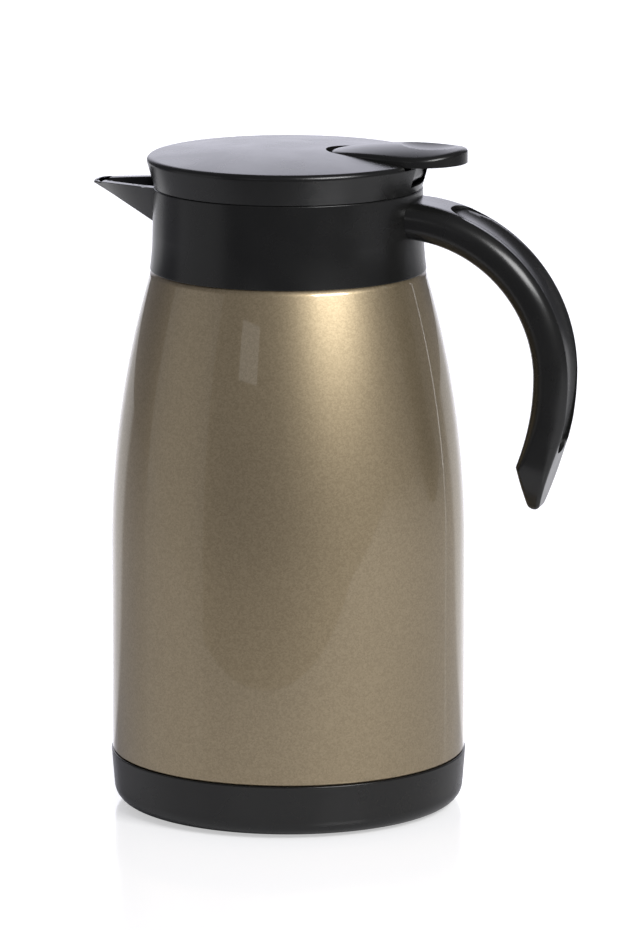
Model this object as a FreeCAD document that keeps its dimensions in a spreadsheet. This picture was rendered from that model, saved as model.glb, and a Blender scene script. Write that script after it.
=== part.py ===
import FreeCAD, Part
import math
import os
import types
import Sketcher
from FreeCAD import Placement, Rotation, Vector

# Thermal carafe, millimetres, +Z up, handle towards +X, spout towards -X.
# The origin is the centre of the soft pad's underside, where the carafe stands.


class Size:
    """A length with the sheet formula that drives it."""

    def __init__(self, value, formula):
        self.value = value
        self.formula = formula

    def joined(self, sign, other, value):
        right = other.formula if isinstance(other, Size) else repr(float(other))
        return Size(value, "(%s %s %s)" % (self.formula, sign, right))

    def __add__(self, other):
        return self.joined("+", other, self.value + number(other))

    def __sub__(self, other):
        return self.joined("-", other, self.value - number(other))

    def __mul__(self, other):
        return self.joined("*", other, self.value * number(other))

    def __truediv__(self, other):
        return self.joined("/", other, self.value / number(other))

    def __neg__(self):
        return self * -1

    def root(self):
        return Size(math.sqrt(self.value), "sqrt(%s)" % self.formula)

    def tangent(self):
        return Size(math.tan(math.radians(self.value)), "tan(%s * 1 deg)" % self.formula)


def number(length):
    return length.value if isinstance(length, Size) else float(length)


def sized(length):
    return length if isinstance(length, Size) else Size(float(length), repr(float(length)))


doc = FreeCAD.newDocument("thermal_carafe")

# How far a cutting shape passes the face that it cuts
OVERCUT = 2.0
# Counts of repeated features
RAMPS = 3
WINDOWS = 6
LID_SCREWS = 4

# Driving dimensions, in millimetres and degrees
DRIVING = {
    # Fits shared by mating pieces
    "seat_gap": 0.05,
    "slip_gap": 0.15,
    "pin_play": 0.05,
    "running_gap": 0.45,
    # Steel outer shell
    "body_radius": 64.7,
    "body_wall": 0.8,
    "flank_height": 76.0,
    "shoulder_rise": 102.0,
    "shoulder_lean": 14.9,
    "shoulder_ledge": 9.8,
    "neck_cone": 7.0,
    "neck_length": 7.0,
    "bead_drop": 2.6,
    "bead_width": 1.8,
    "bead_size": 0.9,
    "ledge_depth": 3.7,
    "foot_stand": 1.8,
    "ledge_round": 1.0,
    # Steel flask inside it
    "flask_wall": 0.7,
    "vacuum_gap": 4.4,
    "flask_lift": 9.0,
    "flask_corner": 12.0,
    "neck_gap": 0.8,
    "weld_height": 2.2,
    # Plate under the vacuum space
    "plate_wall": 0.8,
    "plate_rim": 4.0,
    "dimple_radius": 14.0,
    "dimple_rise": 2.0,
    "seal_hole_radius": 1.5,
    "plug_radius": 5.0,
    "getter_radius": 5.0,
    "getter_height": 2.0,
    "getter_offset": 30.0,
    # Base cup and pad
    "base_height": 20.0,
    "base_proud": 0.5,
    "base_lean": 1.5,
    "base_round": 6.0,
    "base_lip_round": 0.45,
    "base_lift": 1.0,
    "base_floor": 3.2,
    "pad_inset": 13.2,
    "pad_thickness": 2.0,
    # Collar
    "collar_proud": 0.5,
    "collar_flare": 1.0,
    "collar_flare_height": 14.0,
    "collar_taper": 0.4,
    "collar_wall": 2.7,
    "bowl_depth": 13.0,
    "bowl_floor_wall": 2.15,
    "neck_gasket_space": 1.05,
    "snap_wall": 2.25,
    "snap_stand": 1.0,
    # Spout of the collar
    "spout_reach": 24.1,
    "spout_overlap": 4.9,
    "spout_depth": 20.8,
    "spout_half_width": 17.8,
    "spout_narrowing": 0.41,
    "spout_keel_slope": 0.667,
    "spout_wall": 2.2,
    "spout_lip": 2.6,
    "spout_trim": 0.5,
    # Thread insert
    "sleeve_gap": 0.25,
    "thread_wall": 1.55,
    "thread_depth": 11.7,
    "thread_flange_width": 1.15,
    "thread_flange": 1.0,
    "thread_lead": 36.0,
    "ramp_start": 36.0,
    "ramp_angle": 48.0,
    "ramp_gap": 0.3,
    "ramp_thickness": 2.0,
    "ramp_height": 1.2,
    # Handle
    "handle_root_depth": 4.9,
    "handle_drop": 2.7,
    "handle_bow_radius": 62.5,
    "handle_lower_radius": 84.5,
    "handle_thickness": 14.2,
    "handle_fullness": 7.1,
    "handle_fall": 50.4,
    "handle_tip_rise": 16.4,
    "handle_top_half_width": 15.0,
    "handle_tip_half_width": 10.0,
    "handle_edge_round": 3.2,
    "handle_grip_round": 5.6,
    "channel_depth": 2.4,
    "channel_lip": 4.6,
    "channel_start_angle": 74.0,
    "channel_end_angle": 21.0,
    "channel_end_round": 5.4,
    "inlay_thickness": 1.5,
    "inlay_end_gap": 0.2,
    "screw_spread": 5.5,
    "screw_drop": 7.3,
    "screw_seat_depth": 9.1,
    "screw_head_radius": 2.9,
    "screw_head": 2.2,
    "screw_radius": 1.5,
    "screw_bite": 5.3,
    "screw_tip_gap": 0.3,
    "boss_radius": 4.2,
    "boss_cover": 1.3,
    # Stopper
    "thread_clear": 0.4,
    "stopper_wall": 2.3,
    "stopper_depth": 15.2,
    "stopper_floor": 2.2,
    "port_radius": 11.0,
    "flange_lap": 1.8,
    "flange_thickness": 1.8,
    "gasket_thickness": 1.9,
    "deck_thickness": 2.2,
    "deck_gap": 0.6,
    "deck_rim": 2.0,
    "window_lintel": 0.85,
    "window_half_angle": 17.8,
    "bush_radius": 4.0,
    "bush_flange_radius": 6.0,
    "bush_flange": 1.2,
    "bush_depth": 2.0,
    "gland_radius": 7.0,
    "gland_height": 2.4,
    "gland_lip": 0.7,
    # Valve
    "stem_radius": 2.5,
    "stem_play": 0.08,
    "stem_stand": 3.8,
    "valve_radius": 13.5,
    "valve_hub_radius": 10.0,
    "valve_seal_thickness": 1.2,
    "valve_thickness": 2.6,
    "cap_radius": 4.8,
    "cap_thickness": 1.2,
    "spring_radius": 5.6,
    "spring_wire_radius": 0.45,
    "spring_turns": 5.0,
    # Lid cover
    "lid_seam": 0.1,
    "lid_step": 0.3,
    "lid_flare": 3.1,
    "lid_skirt": 11.1,
    "lid_crown": 3.6,
    "lid_edge_round": 1.8,
    "lid_wall": 2.3,
    "tray_depth": 3.4,
    "tray_wall": 2.0,
    "tray_rim": 3.5,
    "ledge_step": 1.9,
    "notch_half_width": 10.2,
    "notch_gap": 0.4,
    "notch_clear": 1.4,
    "slot_before": 9.9,
    "slot_after": 6.0,
    "slot_rise": 1.6,
    "ear_wall": 4.0,
    "lid_screw_inset": 7.4,
    "lid_boss_radius": 3.4,
    "lid_screw_radius": 1.25,
    "lid_screw_head_radius": 2.6,
    "lid_screw_head": 1.6,
    "lid_screw_length": 8.0,
    # Thumb lever
    "lever_float": 3.0,
    "lever_height": 6.6,
    "lever_peak_back": 2.2,
    "lever_nose_x": 27.2,
    "lever_nose_radius": 11.0,
    "lever_end_inset": 2.5,
    "lever_end_radius": 17.2,
    "lever_flank_radius": 78.0,
    "lever_side_gap": 0.6,
    "lever_front_gap": 1.1,
    "lever_nose_drop": 3.405,
    "lever_crown_radius": 45.0,
    "lever_edge_round": 1.3,
    "dish_back": 4.4,
    "dish_radius": 26.0,
    "dish_depth": 2.2,
    "pivot_inset": 6.2,
    "pivot_drop": 2.0,
    "pin_radius": 1.25,
    "pin_inset": 0.6,
    "knuckle_radius": 2.8,
    "knuckle_gap": 0.7,
    "tongue_thickness": 2.0,
    "tongue_half_width": 4.0,
    "fork_gap": 0.2,
    "fork_half_width": 6.0,
    "fork_reach": 3.0,
    "fork_root": 9.0,
    "web_set_back": 3.3,
    "web_length": 4.0,
}
sheet = doc.addObject("Spreadsheet::Sheet", "Sizes")
sizes = {}
for row, (name, value) in enumerate(DRIVING.items(), start=1):
    sheet.set("A%d" % row, name)
    sheet.set("B%d" % row, str(value))
    sheet.setAlias("B%d" % row, name)
    sizes[name] = Size(value, "Sizes." + name)
doc.recompute()
d = types.SimpleNamespace(**sizes)


def sagitta_radius(run, drop):
    """Radius of an arc that leaves straight along run and bends away from it by drop."""
    return (run * run + drop * drop) / (drop * 2)


# Heights above the floor and radii about the axis, built up piece by piece from the lengths above
d.foot_height = d.base_lift + d.base_floor + d.foot_stand
d.foot_radius = d.body_radius - d.ledge_depth
d.base_radius = d.body_radius + d.base_proud
d.pad_radius = d.base_radius - d.pad_inset
d.flask_floor = d.foot_height + d.flask_lift
d.shoulder_start = d.base_height + d.flank_height
d.seam_height = d.shoulder_start + d.shoulder_rise
d.seam_radius = d.body_radius - d.shoulder_lean
d.neck_radius = d.seam_radius - d.shoulder_ledge
d.neck_base = d.seam_height + d.neck_cone
d.lip_height = d.neck_base + d.neck_length
d.bead_height = d.lip_height - d.bead_drop
d.collar_foot_radius = d.seam_radius + d.collar_proud
d.collar_waist_radius = d.collar_foot_radius - d.collar_flare
d.collar_waist_height = d.seam_height + d.collar_flare_height
d.collar_top_radius = d.collar_waist_radius - d.collar_taper
d.snap_foot = d.neck_base + d.snap_stand
d.bowl_floor = d.lip_height + d.neck_gasket_space + d.bowl_floor_wall
d.rim_height = d.bowl_floor + d.bowl_depth
d.spout_tip = d.collar_top_radius + d.spout_reach
d.spout_root = d.collar_top_radius - d.spout_overlap
d.spout_keel_height = d.rim_height - d.spout_depth
d.thread_sleeve_radius = d.neck_radius - d.body_wall - d.neck_gap - d.flask_wall - d.sleeve_gap
d.thread_bore_radius = d.thread_sleeve_radius - d.thread_wall
d.thread_flange_radius = d.thread_sleeve_radius + d.thread_flange_width
d.thread_foot = d.bowl_floor - d.thread_depth
d.handle_reach = d.collar_top_radius - d.handle_root_depth + d.handle_bow_radius
d.handle_bow_height = d.rim_height - d.handle_drop - d.handle_bow_radius
d.handle_end = d.handle_bow_height - d.handle_fall
d.handle_inner_end = d.handle_end + d.handle_tip_rise
d.handle_inner_lower_radius = d.handle_lower_radius + d.handle_fullness
d.screw_height = d.rim_height - d.handle_drop - d.screw_drop
d.screw_seat = d.collar_top_radius + d.screw_seat_depth
d.screw_end = d.collar_top_radius - d.screw_bite
d.boss_face = d.screw_end - d.boss_cover
d.stopper_radius = d.thread_bore_radius - d.ramp_height - d.thread_clear
d.stopper_foot = d.bowl_floor - d.stopper_depth
d.flange_radius = d.thread_flange_radius + d.flange_lap
d.deck_height = d.rim_height - d.deck_thickness
d.deck_radius = d.collar_top_radius - d.collar_wall - d.deck_gap
d.window_half_width = d.stopper_radius * d.window_half_angle.tangent()
d.bush_foot = d.deck_height - d.bush_depth
d.gland_foot = d.bush_foot - d.gland_height
d.cap_seat = d.rim_height + d.stem_stand
d.lid_seat = d.rim_height + d.lid_seam
d.lid_seat_radius = d.collar_top_radius - d.lid_step
d.lid_rim_radius = d.lid_seat_radius + d.lid_flare
d.lid_rim_height = d.lid_seat + d.lid_skirt
d.lid_top = d.lid_rim_height + d.lid_crown
d.lid_screw_circle = d.deck_radius - d.lid_screw_inset
d.tray_floor = d.lid_rim_height - d.tray_depth
d.tray_rim_radius = d.lid_rim_radius - d.tray_rim
d.rim_ledge = d.tray_floor + d.ledge_step
d.pivot_x = d.lid_rim_radius - d.pivot_inset
d.pivot_height = d.tray_floor - d.pivot_drop
d.notch_floor = d.pivot_height - d.knuckle_radius - d.notch_gap
d.notch_start = d.pivot_x - d.knuckle_radius - d.notch_clear
d.ear_half_width = d.notch_half_width + d.ear_wall
d.pin_half_length = d.ear_half_width - d.pin_inset
d.lever_foot = d.tray_floor + d.lever_float
d.lever_top = d.lever_foot + d.lever_height
d.lever_end_x = d.lid_rim_radius - d.lever_end_inset
d.lever_peak = d.lever_end_x - d.lever_peak_back
d.lever_bow_radius = sagitta_radius(d.lever_peak - d.lever_nose_x + d.lever_nose_radius, d.lever_nose_drop)
d.dish_x = d.lever_end_x + d.dish_back
d.tongue_foot = d.cap_seat - d.fork_gap - d.tongue_thickness
d.web_start = d.lever_nose_x - d.lever_nose_radius + d.web_set_back
d.web_end = d.web_start + d.web_length
d.slot_start = d.web_start - d.slot_before
d.slot_end = d.web_end + d.slot_after
d.slot_roof = d.tray_floor + d.slot_rise

finished = []


def new_body(name):
    body = doc.addObject("PartDesign::Body", name)
    body.Label = name
    return body


def new_sketch(body, name, plane, offset=None):
    """An empty sketch on one of the body's own origin planes, moved along the plane's normal by offset."""
    sketch = body.newObject("Sketcher::SketchObject", name)
    support = [face for face in body.Origin.OriginFeatures if face.Role == plane][0]
    sketch.AttachmentSupport = [(support, "")]
    sketch.MapMode = "FlatFace"
    if offset is not None:
        sketch.AttachmentOffset = Placement(Vector(0, 0, number(offset)), Rotation())
        if isinstance(offset, Size):
            sketch.setExpression("AttachmentOffset.Base.z", offset.formula)
    return sketch


def bind(sketch, kind, where, length):
    """Adds one dimension to a sketch and ties it to the sheet."""
    if kind != "Radius" and abs(number(length)) < 1e-9:
        axis = -2 if kind == "DistanceX" else -1
        sketch.addConstraint(Sketcher.Constraint("PointOnObject", where[0], where[1], axis))
        return
    index = sketch.addConstraint(Sketcher.Constraint(kind, *where, number(length)))
    if isinstance(length, Size):
        sketch.setExpression("Constraints[%d]" % index, length.formula)


def bulge(first, second, turn, radius):
    """The arc from first to second that turns left or right, and which of its ends comes first."""
    middle = (first + second) / 2
    chord = second - first
    across = Vector(-chord.y, chord.x, 0).normalize()
    if turn == "right":
        across = across * -1
    rise = math.sqrt(max(radius * radius - chord.Length ** 2 / 4, 0))
    centre = middle + across * rise
    start, end = (first, second) if turn == "left" else (second, first)
    from_angle = math.atan2(start.y - centre.y, start.x - centre.x)
    to_angle = math.atan2(end.y - centre.y, end.x - centre.x)
    circle = Part.Circle(centre, Vector(0, 0, 1), radius)
    return Part.ArcOfCircle(circle, from_angle, to_angle), (1, 2) if turn == "left" else (2, 1)


def outline(sketch, corners):
    """A closed outline. A corner is (x, y), or (x, y, turn, radius) when an arc leads on from it."""
    places = [Vector(number(corner[0]), number(corner[1]), 0) for corner in corners]
    ends = []
    for index, corner in enumerate(corners):
        here = places[index]
        there = places[(index + 1) % len(corners)]
        if len(corner) == 4:
            curve, order = bulge(here, there, corner[2], number(corner[3]))
        else:
            curve, order = Part.LineSegment(here, there), (1, 2)
        ends.append((sketch.addGeometry(curve, False), order))
    for index, corner in enumerate(corners):
        edge, order = ends[index]
        following, next_order = ends[(index + 1) % len(corners)]
        sketch.addConstraint(Sketcher.Constraint("Coincident", edge, order[1], following, next_order[0]))
    for index, corner in enumerate(corners):
        edge, order = ends[index]
        bind(sketch, "DistanceX", (edge, order[0]), corner[0])
        bind(sketch, "DistanceY", (edge, order[0]), corner[1])
        if len(corner) == 4:
            bind(sketch, "Radius", (edge,), corner[3])


def ring(sketch, x, y, radius):
    circle = Part.Circle(Vector(number(x), number(y), 0), Vector(0, 0, 1), number(radius))
    edge = sketch.addGeometry(circle, False)
    bind(sketch, "DistanceX", (edge, 3), x)
    bind(sketch, "DistanceY", (edge, 3), y)
    bind(sketch, "Radius", (edge,), radius)


def turned(body, name, corners, kind="PartDesign::Revolution"):
    """A shape turned about the vertical axis from corners given as (radius, height)."""
    sketch = new_sketch(body, name + "_profile", "XZ_Plane")
    outline(sketch, corners)
    feature = body.newObject(kind, name)
    feature.Profile = sketch
    feature.ReferenceAxis = (sketch, ["V_Axis"])
    feature.Angle = 360
    doc.recompute()
    return feature


def padded(body, name, sketch, length, kind="PartDesign::Pad", symmetric=False, reversed_way=False):
    feature = body.newObject(kind, name)
    feature.Profile = sketch
    feature.Length = number(length)
    if isinstance(length, Size):
        feature.setExpression("Length", length.formula)
    if symmetric:
        feature.SideType = "Symmetric"
    feature.Reversed = reversed_way
    doc.recompute()
    return feature


def rounded(body, name, radius, wanted):
    """Rounds the edges of the body's last feature that the test picks."""
    base = body.Tip
    names = ["Edge%d" % count for count, edge in enumerate(base.Shape.Edges, start=1) if wanted(edge)]
    feature = body.newObject("PartDesign::Fillet", name)
    feature.Base = (base, names)
    feature.Radius = number(radius)
    feature.setExpression("Radius", radius.formula)
    doc.recompute()
    return feature


def spots_on(edge):
    """Three points spread along an edge."""
    span = edge.LastParameter - edge.FirstParameter
    return [edge.valueAt(edge.FirstParameter + span * share) for share in (0.1, 0.5, 0.9)]


def circle_at(radius, height):
    """Picks a round edge about the vertical axis by its radius and height."""
    def test(edge):
        if edge.Degenerated or not isinstance(edge.Curve, Part.Circle):
            return False
        same_radius = abs(edge.Curve.Radius - number(radius)) < 1e-3
        return same_radius and abs(edge.Curve.Center.z - number(height)) < 1e-3
    return test


def keep(node, feature):
    """Notes a finished sub-part under the name of its file."""
    feature.Label = node
    finished.append((node, feature))


# Outer shell: painted steel, one sheet from the foot inside the base cup to the lip of the neck
shell = new_body("outer_shell_body")
ledge = d.base_height + d.seat_gap
lean = d.body_radius - d.seam_radius
shoulder_radius = sagitta_radius(d.seam_height - d.shoulder_start, lean)
inner_shoulder_radius = sagitta_radius(d.seam_height - d.body_wall / 2 - d.shoulder_start, lean)
bead_low = d.bead_height - d.bead_width / 2
bead_high = d.bead_height + d.bead_width / 2
shell_neck_bore = d.neck_radius - d.body_wall
turned(shell, "shell_wall", [
    (d.foot_radius, d.foot_height),
    (d.foot_radius, ledge),
    (d.body_radius - d.ledge_round, ledge, "left", d.ledge_round),
    (d.body_radius, ledge + d.ledge_round),
    (d.body_radius, d.shoulder_start, "left", shoulder_radius),
    (d.seam_radius, d.seam_height),
    (d.neck_radius, d.neck_base),
    (d.neck_radius, bead_low),
    (d.neck_radius + d.bead_size, d.bead_height),
    (d.neck_radius, bead_high),
    (d.neck_radius, d.lip_height),
    (shell_neck_bore, d.lip_height),
    (shell_neck_bore, d.neck_base - d.body_wall / 2),
    (d.seam_radius - d.body_wall, d.seam_height - d.body_wall / 2, "right", inner_shoulder_radius),
    (d.body_radius - d.body_wall, d.shoulder_start),
    (d.body_radius - d.body_wall, ledge + d.body_wall),
    (d.foot_radius - d.body_wall, ledge + d.body_wall),
    (d.foot_radius - d.body_wall, d.foot_height),
])
keep("outer_shell", shell)

# Inner flask: steel liner across a vacuum gap, flared at the lip where it is welded to the shell
flask = new_body("inner_flask_body")
flask_radius = d.body_radius - d.body_wall - d.vacuum_gap
flask_seam_radius = d.seam_radius - d.body_wall - d.vacuum_gap
flask_seam_height = d.seam_height - d.vacuum_gap
flask_neck_radius = shell_neck_bore - d.neck_gap
flask_neck_base = d.neck_base - d.vacuum_gap
flask_lip_radius = shell_neck_bore - d.seat_gap
weld_foot = d.lip_height - d.weld_height
flask_lean = flask_radius - flask_seam_radius
flask_shoulder = sagitta_radius(flask_seam_height - d.shoulder_start, flask_lean)
flask_bore_shoulder = sagitta_radius(flask_seam_height - d.flask_wall / 2 - d.shoulder_start, flask_lean)
turned(flask, "flask_wall", [
    (0, d.flask_floor),
    (flask_radius - d.flask_corner, d.flask_floor, "left", d.flask_corner),
    (flask_radius, d.flask_floor + d.flask_corner),
    (flask_radius, d.shoulder_start, "left", flask_shoulder),
    (flask_seam_radius, flask_seam_height),
    (flask_neck_radius, flask_neck_base),
    (flask_neck_radius, weld_foot - d.neck_gap),
    (flask_lip_radius, weld_foot),
    (flask_lip_radius, d.lip_height),
    (flask_lip_radius - d.flask_wall, d.lip_height),
    (flask_lip_radius - d.flask_wall, weld_foot),
    (flask_neck_radius - d.flask_wall, weld_foot - d.neck_gap),
    (flask_neck_radius - d.flask_wall, flask_neck_base - d.flask_wall / 2),
    (flask_seam_radius - d.flask_wall, flask_seam_height - d.flask_wall / 2, "right", flask_bore_shoulder),
    (flask_radius - d.flask_wall, d.shoulder_start),
    (flask_radius - d.flask_wall, d.flask_floor + d.flask_corner, "right", d.flask_corner - d.flask_wall),
    (flask_radius - d.flask_corner, d.flask_floor + d.flask_wall),
    (0, d.flask_floor + d.flask_wall),
])
keep("inner_flask", flask)

# Bottom plate: closes the vacuum space, with a dimple for the evacuation hole
plate = new_body("bottom_plate_body")
plate_radius = d.foot_radius - d.body_wall - d.seat_gap
dimple_height = d.foot_height + d.dimple_rise
turned(plate, "plate_dish", [
    (d.seal_hole_radius, dimple_height),
    (d.dimple_radius, dimple_height),
    (d.dimple_radius + d.dimple_rise, d.foot_height),
    (plate_radius, d.foot_height),
    (plate_radius, d.foot_height + d.plate_rim),
    (plate_radius - d.plate_wall, d.foot_height + d.plate_rim),
    (plate_radius - d.plate_wall, d.foot_height + d.plate_wall),
    (d.dimple_radius + d.dimple_rise + d.plate_wall / 2, d.foot_height + d.plate_wall),
    (d.dimple_radius + d.plate_wall / 2, dimple_height + d.plate_wall),
    (d.seal_hole_radius, dimple_height + d.plate_wall),
])
keep("bottom_plate", plate)

# Vacuum plug: a headed plug brazed into the evacuation hole from below
plug = new_body("vacuum_plug_body")
plug_face = dimple_height - d.seat_gap
turned(plug, "plug_head", [
    (0, d.foot_height + d.dimple_rise / 4),
    (d.plug_radius, d.foot_height + d.dimple_rise / 4),
    (d.plug_radius, plug_face),
    (d.seal_hole_radius - d.seat_gap, plug_face),
    (d.seal_hole_radius - d.seat_gap, dimple_height + d.plate_wall),
    (0, dimple_height + d.plate_wall),
])
keep("vacuum_plug", plug)

# Getter: a pill on the vacuum side of the plate
getter = doc.addObject("Part::Cylinder", "getter_pill")
getter.setExpression("Radius", d.getter_radius.formula)
getter.setExpression("Height", d.getter_height.formula)
getter_base = d.foot_height + d.plate_wall + d.seat_gap
getter.setExpression(".Placement.Base.x", d.getter_offset.formula)
getter.setExpression(".Placement.Base.z", getter_base.formula)
keep("getter", getter)

# Base cup: plastic cup that slips over the shell's foot, its edge a little proud of the paint
cup = new_body("base_cup_body")
socket_radius = d.foot_radius + d.slip_gap
pad_pocket_radius = d.pad_radius + d.slip_gap
pad_pocket_top = d.pad_thickness + d.seat_gap
turned(cup, "cup_wall", [
    (0, pad_pocket_top),
    (pad_pocket_radius, pad_pocket_top),
    (pad_pocket_radius, d.base_lift),
    (d.base_radius - d.base_lean, d.base_lift),
    (d.base_radius, d.base_height),
    (socket_radius, d.base_height),
    (socket_radius, d.base_lift + d.base_floor),
    (0, d.base_lift + d.base_floor),
])
rounded(cup, "cup_edge", d.base_round, circle_at(d.base_radius - d.base_lean, d.base_lift))
rounded(cup, "cup_lip", d.base_lip_round, circle_at(d.base_radius, d.base_height))
keep("base_cup", cup)

# Base pad: soft disc in the underside of the cup
pad = new_body("base_pad_body")
turned(pad, "pad_disc", [
    (0, 0),
    (d.pad_radius, 0),
    (d.pad_radius, d.pad_thickness),
    (0, d.pad_thickness),
])
keep("base_pad", pad)

# Collar: outer ring, floor of the pouring bowl, snap skirt over the neck's bead, and the spout
collar = new_body("collar_ring")
bowl_radius = d.collar_top_radius - d.collar_wall
floor_under = d.bowl_floor - d.bowl_floor_wall
ring_pocket_radius = d.thread_flange_radius + d.seat_gap
ring_pocket_floor = d.bowl_floor - d.thread_flange - d.seat_gap
sleeve_hole_radius = d.thread_sleeve_radius + d.seat_gap
snap_radius = d.neck_radius + d.slip_gap
dry_radius = d.collar_waist_radius - d.collar_wall
dry_foot_radius = d.collar_foot_radius - d.collar_wall
cone_slope = (d.neck_base - d.seam_height) / (d.seam_radius - d.neck_radius)
dry_foot = d.seam_height + (d.seam_radius - dry_foot_radius) * cone_slope + d.slip_gap
flare_rise = d.collar_waist_height - d.seam_height
flare_radius = sagitta_radius(flare_rise, d.collar_foot_radius - d.collar_waist_radius)
turned(collar, "collar_wall", [
    (d.collar_foot_radius, d.seam_height + d.seat_gap, "right", flare_radius),
    (d.collar_waist_radius, d.collar_waist_height),
    (d.collar_top_radius, d.rim_height),
    (bowl_radius, d.rim_height),
    (bowl_radius, d.bowl_floor),
    (ring_pocket_radius, d.bowl_floor),
    (ring_pocket_radius, ring_pocket_floor),
    (sleeve_hole_radius, ring_pocket_floor),
    (sleeve_hole_radius, floor_under),
    (snap_radius, floor_under),
    (snap_radius, bead_high + d.slip_gap),
    (snap_radius + d.bead_size, d.bead_height),
    (snap_radius, bead_low - d.slip_gap),
    (snap_radius, d.snap_foot),
    (snap_radius + d.snap_wall, d.snap_foot),
    (snap_radius + d.snap_wall, floor_under),
    (dry_radius, floor_under),
    (dry_foot_radius, dry_foot),
    (d.seam_radius + d.seat_gap, d.seam_height + d.seat_gap),
])


def spout_section(body, name, reach, inset):
    """A V across the spout at a distance from the axis, shrunk inside the walls by inset."""
    along = reach - d.spout_root
    half = d.spout_half_width - along * d.spout_narrowing - inset
    keel = d.spout_keel_height + along * d.spout_keel_slope + inset
    sketch = new_sketch(body, name, "YZ_Plane", -reach)
    outline(sketch, [(-half, d.rim_height + inset), (0, keel), (half, d.rim_height + inset)])
    return sketch


root_section = spout_section(collar, "spout_root_section", d.spout_root, 0)
tip_section = spout_section(collar, "spout_tip_section", d.spout_tip + d.spout_trim, 0)
beak = collar.newObject("PartDesign::AdditiveLoft", "spout_beak")
beak.Profile = root_section
beak.Sections = [tip_section]
beak.Ruled = True
doc.recompute()
turned(collar, "bowl", [
    (0, d.bowl_floor),
    (bowl_radius, d.bowl_floor),
    (bowl_radius, d.rim_height + d.collar_wall),
    (0, d.rim_height + d.collar_wall),
], "PartDesign::Groove")

# The nose is round in plan and runs smoothly into the straight lips
lip_run = (d.spout_narrowing * d.spout_narrowing + 1).root()
tip_half_width = d.spout_half_width - (d.spout_tip - d.spout_root) * d.spout_narrowing
nose_radius = tip_half_width / (lip_run - d.spout_narrowing)
nose_x = d.spout_tip - nose_radius + nose_radius * d.spout_narrowing / lip_run
nose_y = nose_radius / lip_run
nose_sketch = new_sketch(collar, "spout_nose_plan", "XY_Plane", d.rim_height + d.collar_wall)
outline(nose_sketch, [
    (-nose_x, nose_y, "left", nose_radius),
    (-d.spout_tip, 0, "left", nose_radius),
    (-nose_x, -nose_y),
    (-nose_x, -d.spout_half_width),
    (-d.spout_tip - OVERCUT, -d.spout_half_width),
    (-d.spout_tip - OVERCUT, d.spout_half_width),
    (-nose_x, d.spout_half_width),
])
padded(collar, "spout_nose", nose_sketch, d.rim_height - d.spout_keel_height, "PartDesign::Pocket")

# Blind bosses inside the wall take the handle screws
for side, spread in (("far", d.screw_spread), ("near", -d.screw_spread)):
    boss_sketch = new_sketch(collar, "boss_plan_" + side, "YZ_Plane", d.boss_face)
    ring(boss_sketch, spread, d.screw_height, d.boss_radius)
    padded(collar, "boss_" + side, boss_sketch, bowl_radius - d.boss_face + d.collar_wall / 2)
screw_hole_end = d.screw_end - d.screw_tip_gap
hole_sketch = new_sketch(collar, "screw_hole_plan", "YZ_Plane", screw_hole_end)
ring(hole_sketch, d.screw_spread, d.screw_height, d.screw_radius + d.seat_gap)
ring(hole_sketch, -d.screw_spread, d.screw_height, d.screw_radius + d.seat_gap)
padded(collar, "screw_holes", hole_sketch, d.collar_foot_radius - screw_hole_end, "PartDesign::Pocket",
       reversed_way=True)

# The gutter runs level through the wall, then climbs along the keel
gutter = new_body("spout_gutter")
gutter_root = spout_section(gutter, "gutter_root_section", d.spout_root - OVERCUT * 2, d.spout_wall)
gutter_tip = spout_section(gutter, "gutter_tip_section", d.spout_tip - d.spout_lip, d.spout_wall)
run = gutter.newObject("PartDesign::AdditiveLoft", "gutter_run")
run.Profile = gutter_root
run.Sections = [gutter_tip]
run.Ruled = True
doc.recompute()
level_sketch = new_sketch(gutter, "gutter_level", "XY_Plane", d.bowl_floor)
outline(level_sketch, [
    (-d.spout_tip, -d.spout_half_width * 2),
    (0, -d.spout_half_width * 2),
    (0, d.spout_half_width * 2),
    (-d.spout_tip, d.spout_half_width * 2),
])
padded(gutter, "gutter_floor", level_sketch, d.bowl_floor - d.seam_height, "PartDesign::Pocket")
collar_piece = doc.addObject("Part::Cut", "collar_with_gutter")
collar_piece.Base = collar
collar_piece.Tool = gutter
doc.recompute()
keep("collar", collar_piece)

# Neck gasket: ring squeezed between the steel lip and the underside of the bowl floor
neck_gasket = new_body("neck_gasket_body")
turned(neck_gasket, "neck_gasket_ring", [
    (sleeve_hole_radius + d.slip_gap, d.lip_height + d.seat_gap),
    (d.neck_radius, d.lip_height + d.seat_gap),
    (d.neck_radius, floor_under - d.seat_gap),
    (sleeve_hole_radius + d.slip_gap, floor_under - d.seat_gap),
])
keep("neck_gasket", neck_gasket)


def ramp_group(name, inner, outer, foot):
    """The ramps of the quick thread. Each climbs with the lead over its own angle."""
    solids = []
    steps = 6
    for ramp in range(RAMPS):
        start = number(d.ramp_start) + 360 * ramp / RAMPS
        sections = []
        for step in range(steps + 1):
            turn = number(d.ramp_angle) * step / steps
            low = number(foot) + number(d.thread_lead) * turn / 360
            high = low + number(d.ramp_thickness)
            angle = math.radians(start + turn)
            corners = []
            for radius, height in ((inner, low), (outer, low), (outer, high), (inner, high)):
                reach = number(radius)
                corners.append(Vector(reach * math.cos(angle), reach * math.sin(angle), height))
            sections.append(Part.makePolygon(corners + corners[:1]))
        solids.append(Part.makeLoft(sections, True, True))
    feature = doc.addObject("Part::Feature", name)
    feature.Shape = Part.makeCompound(solids)
    return feature


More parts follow.
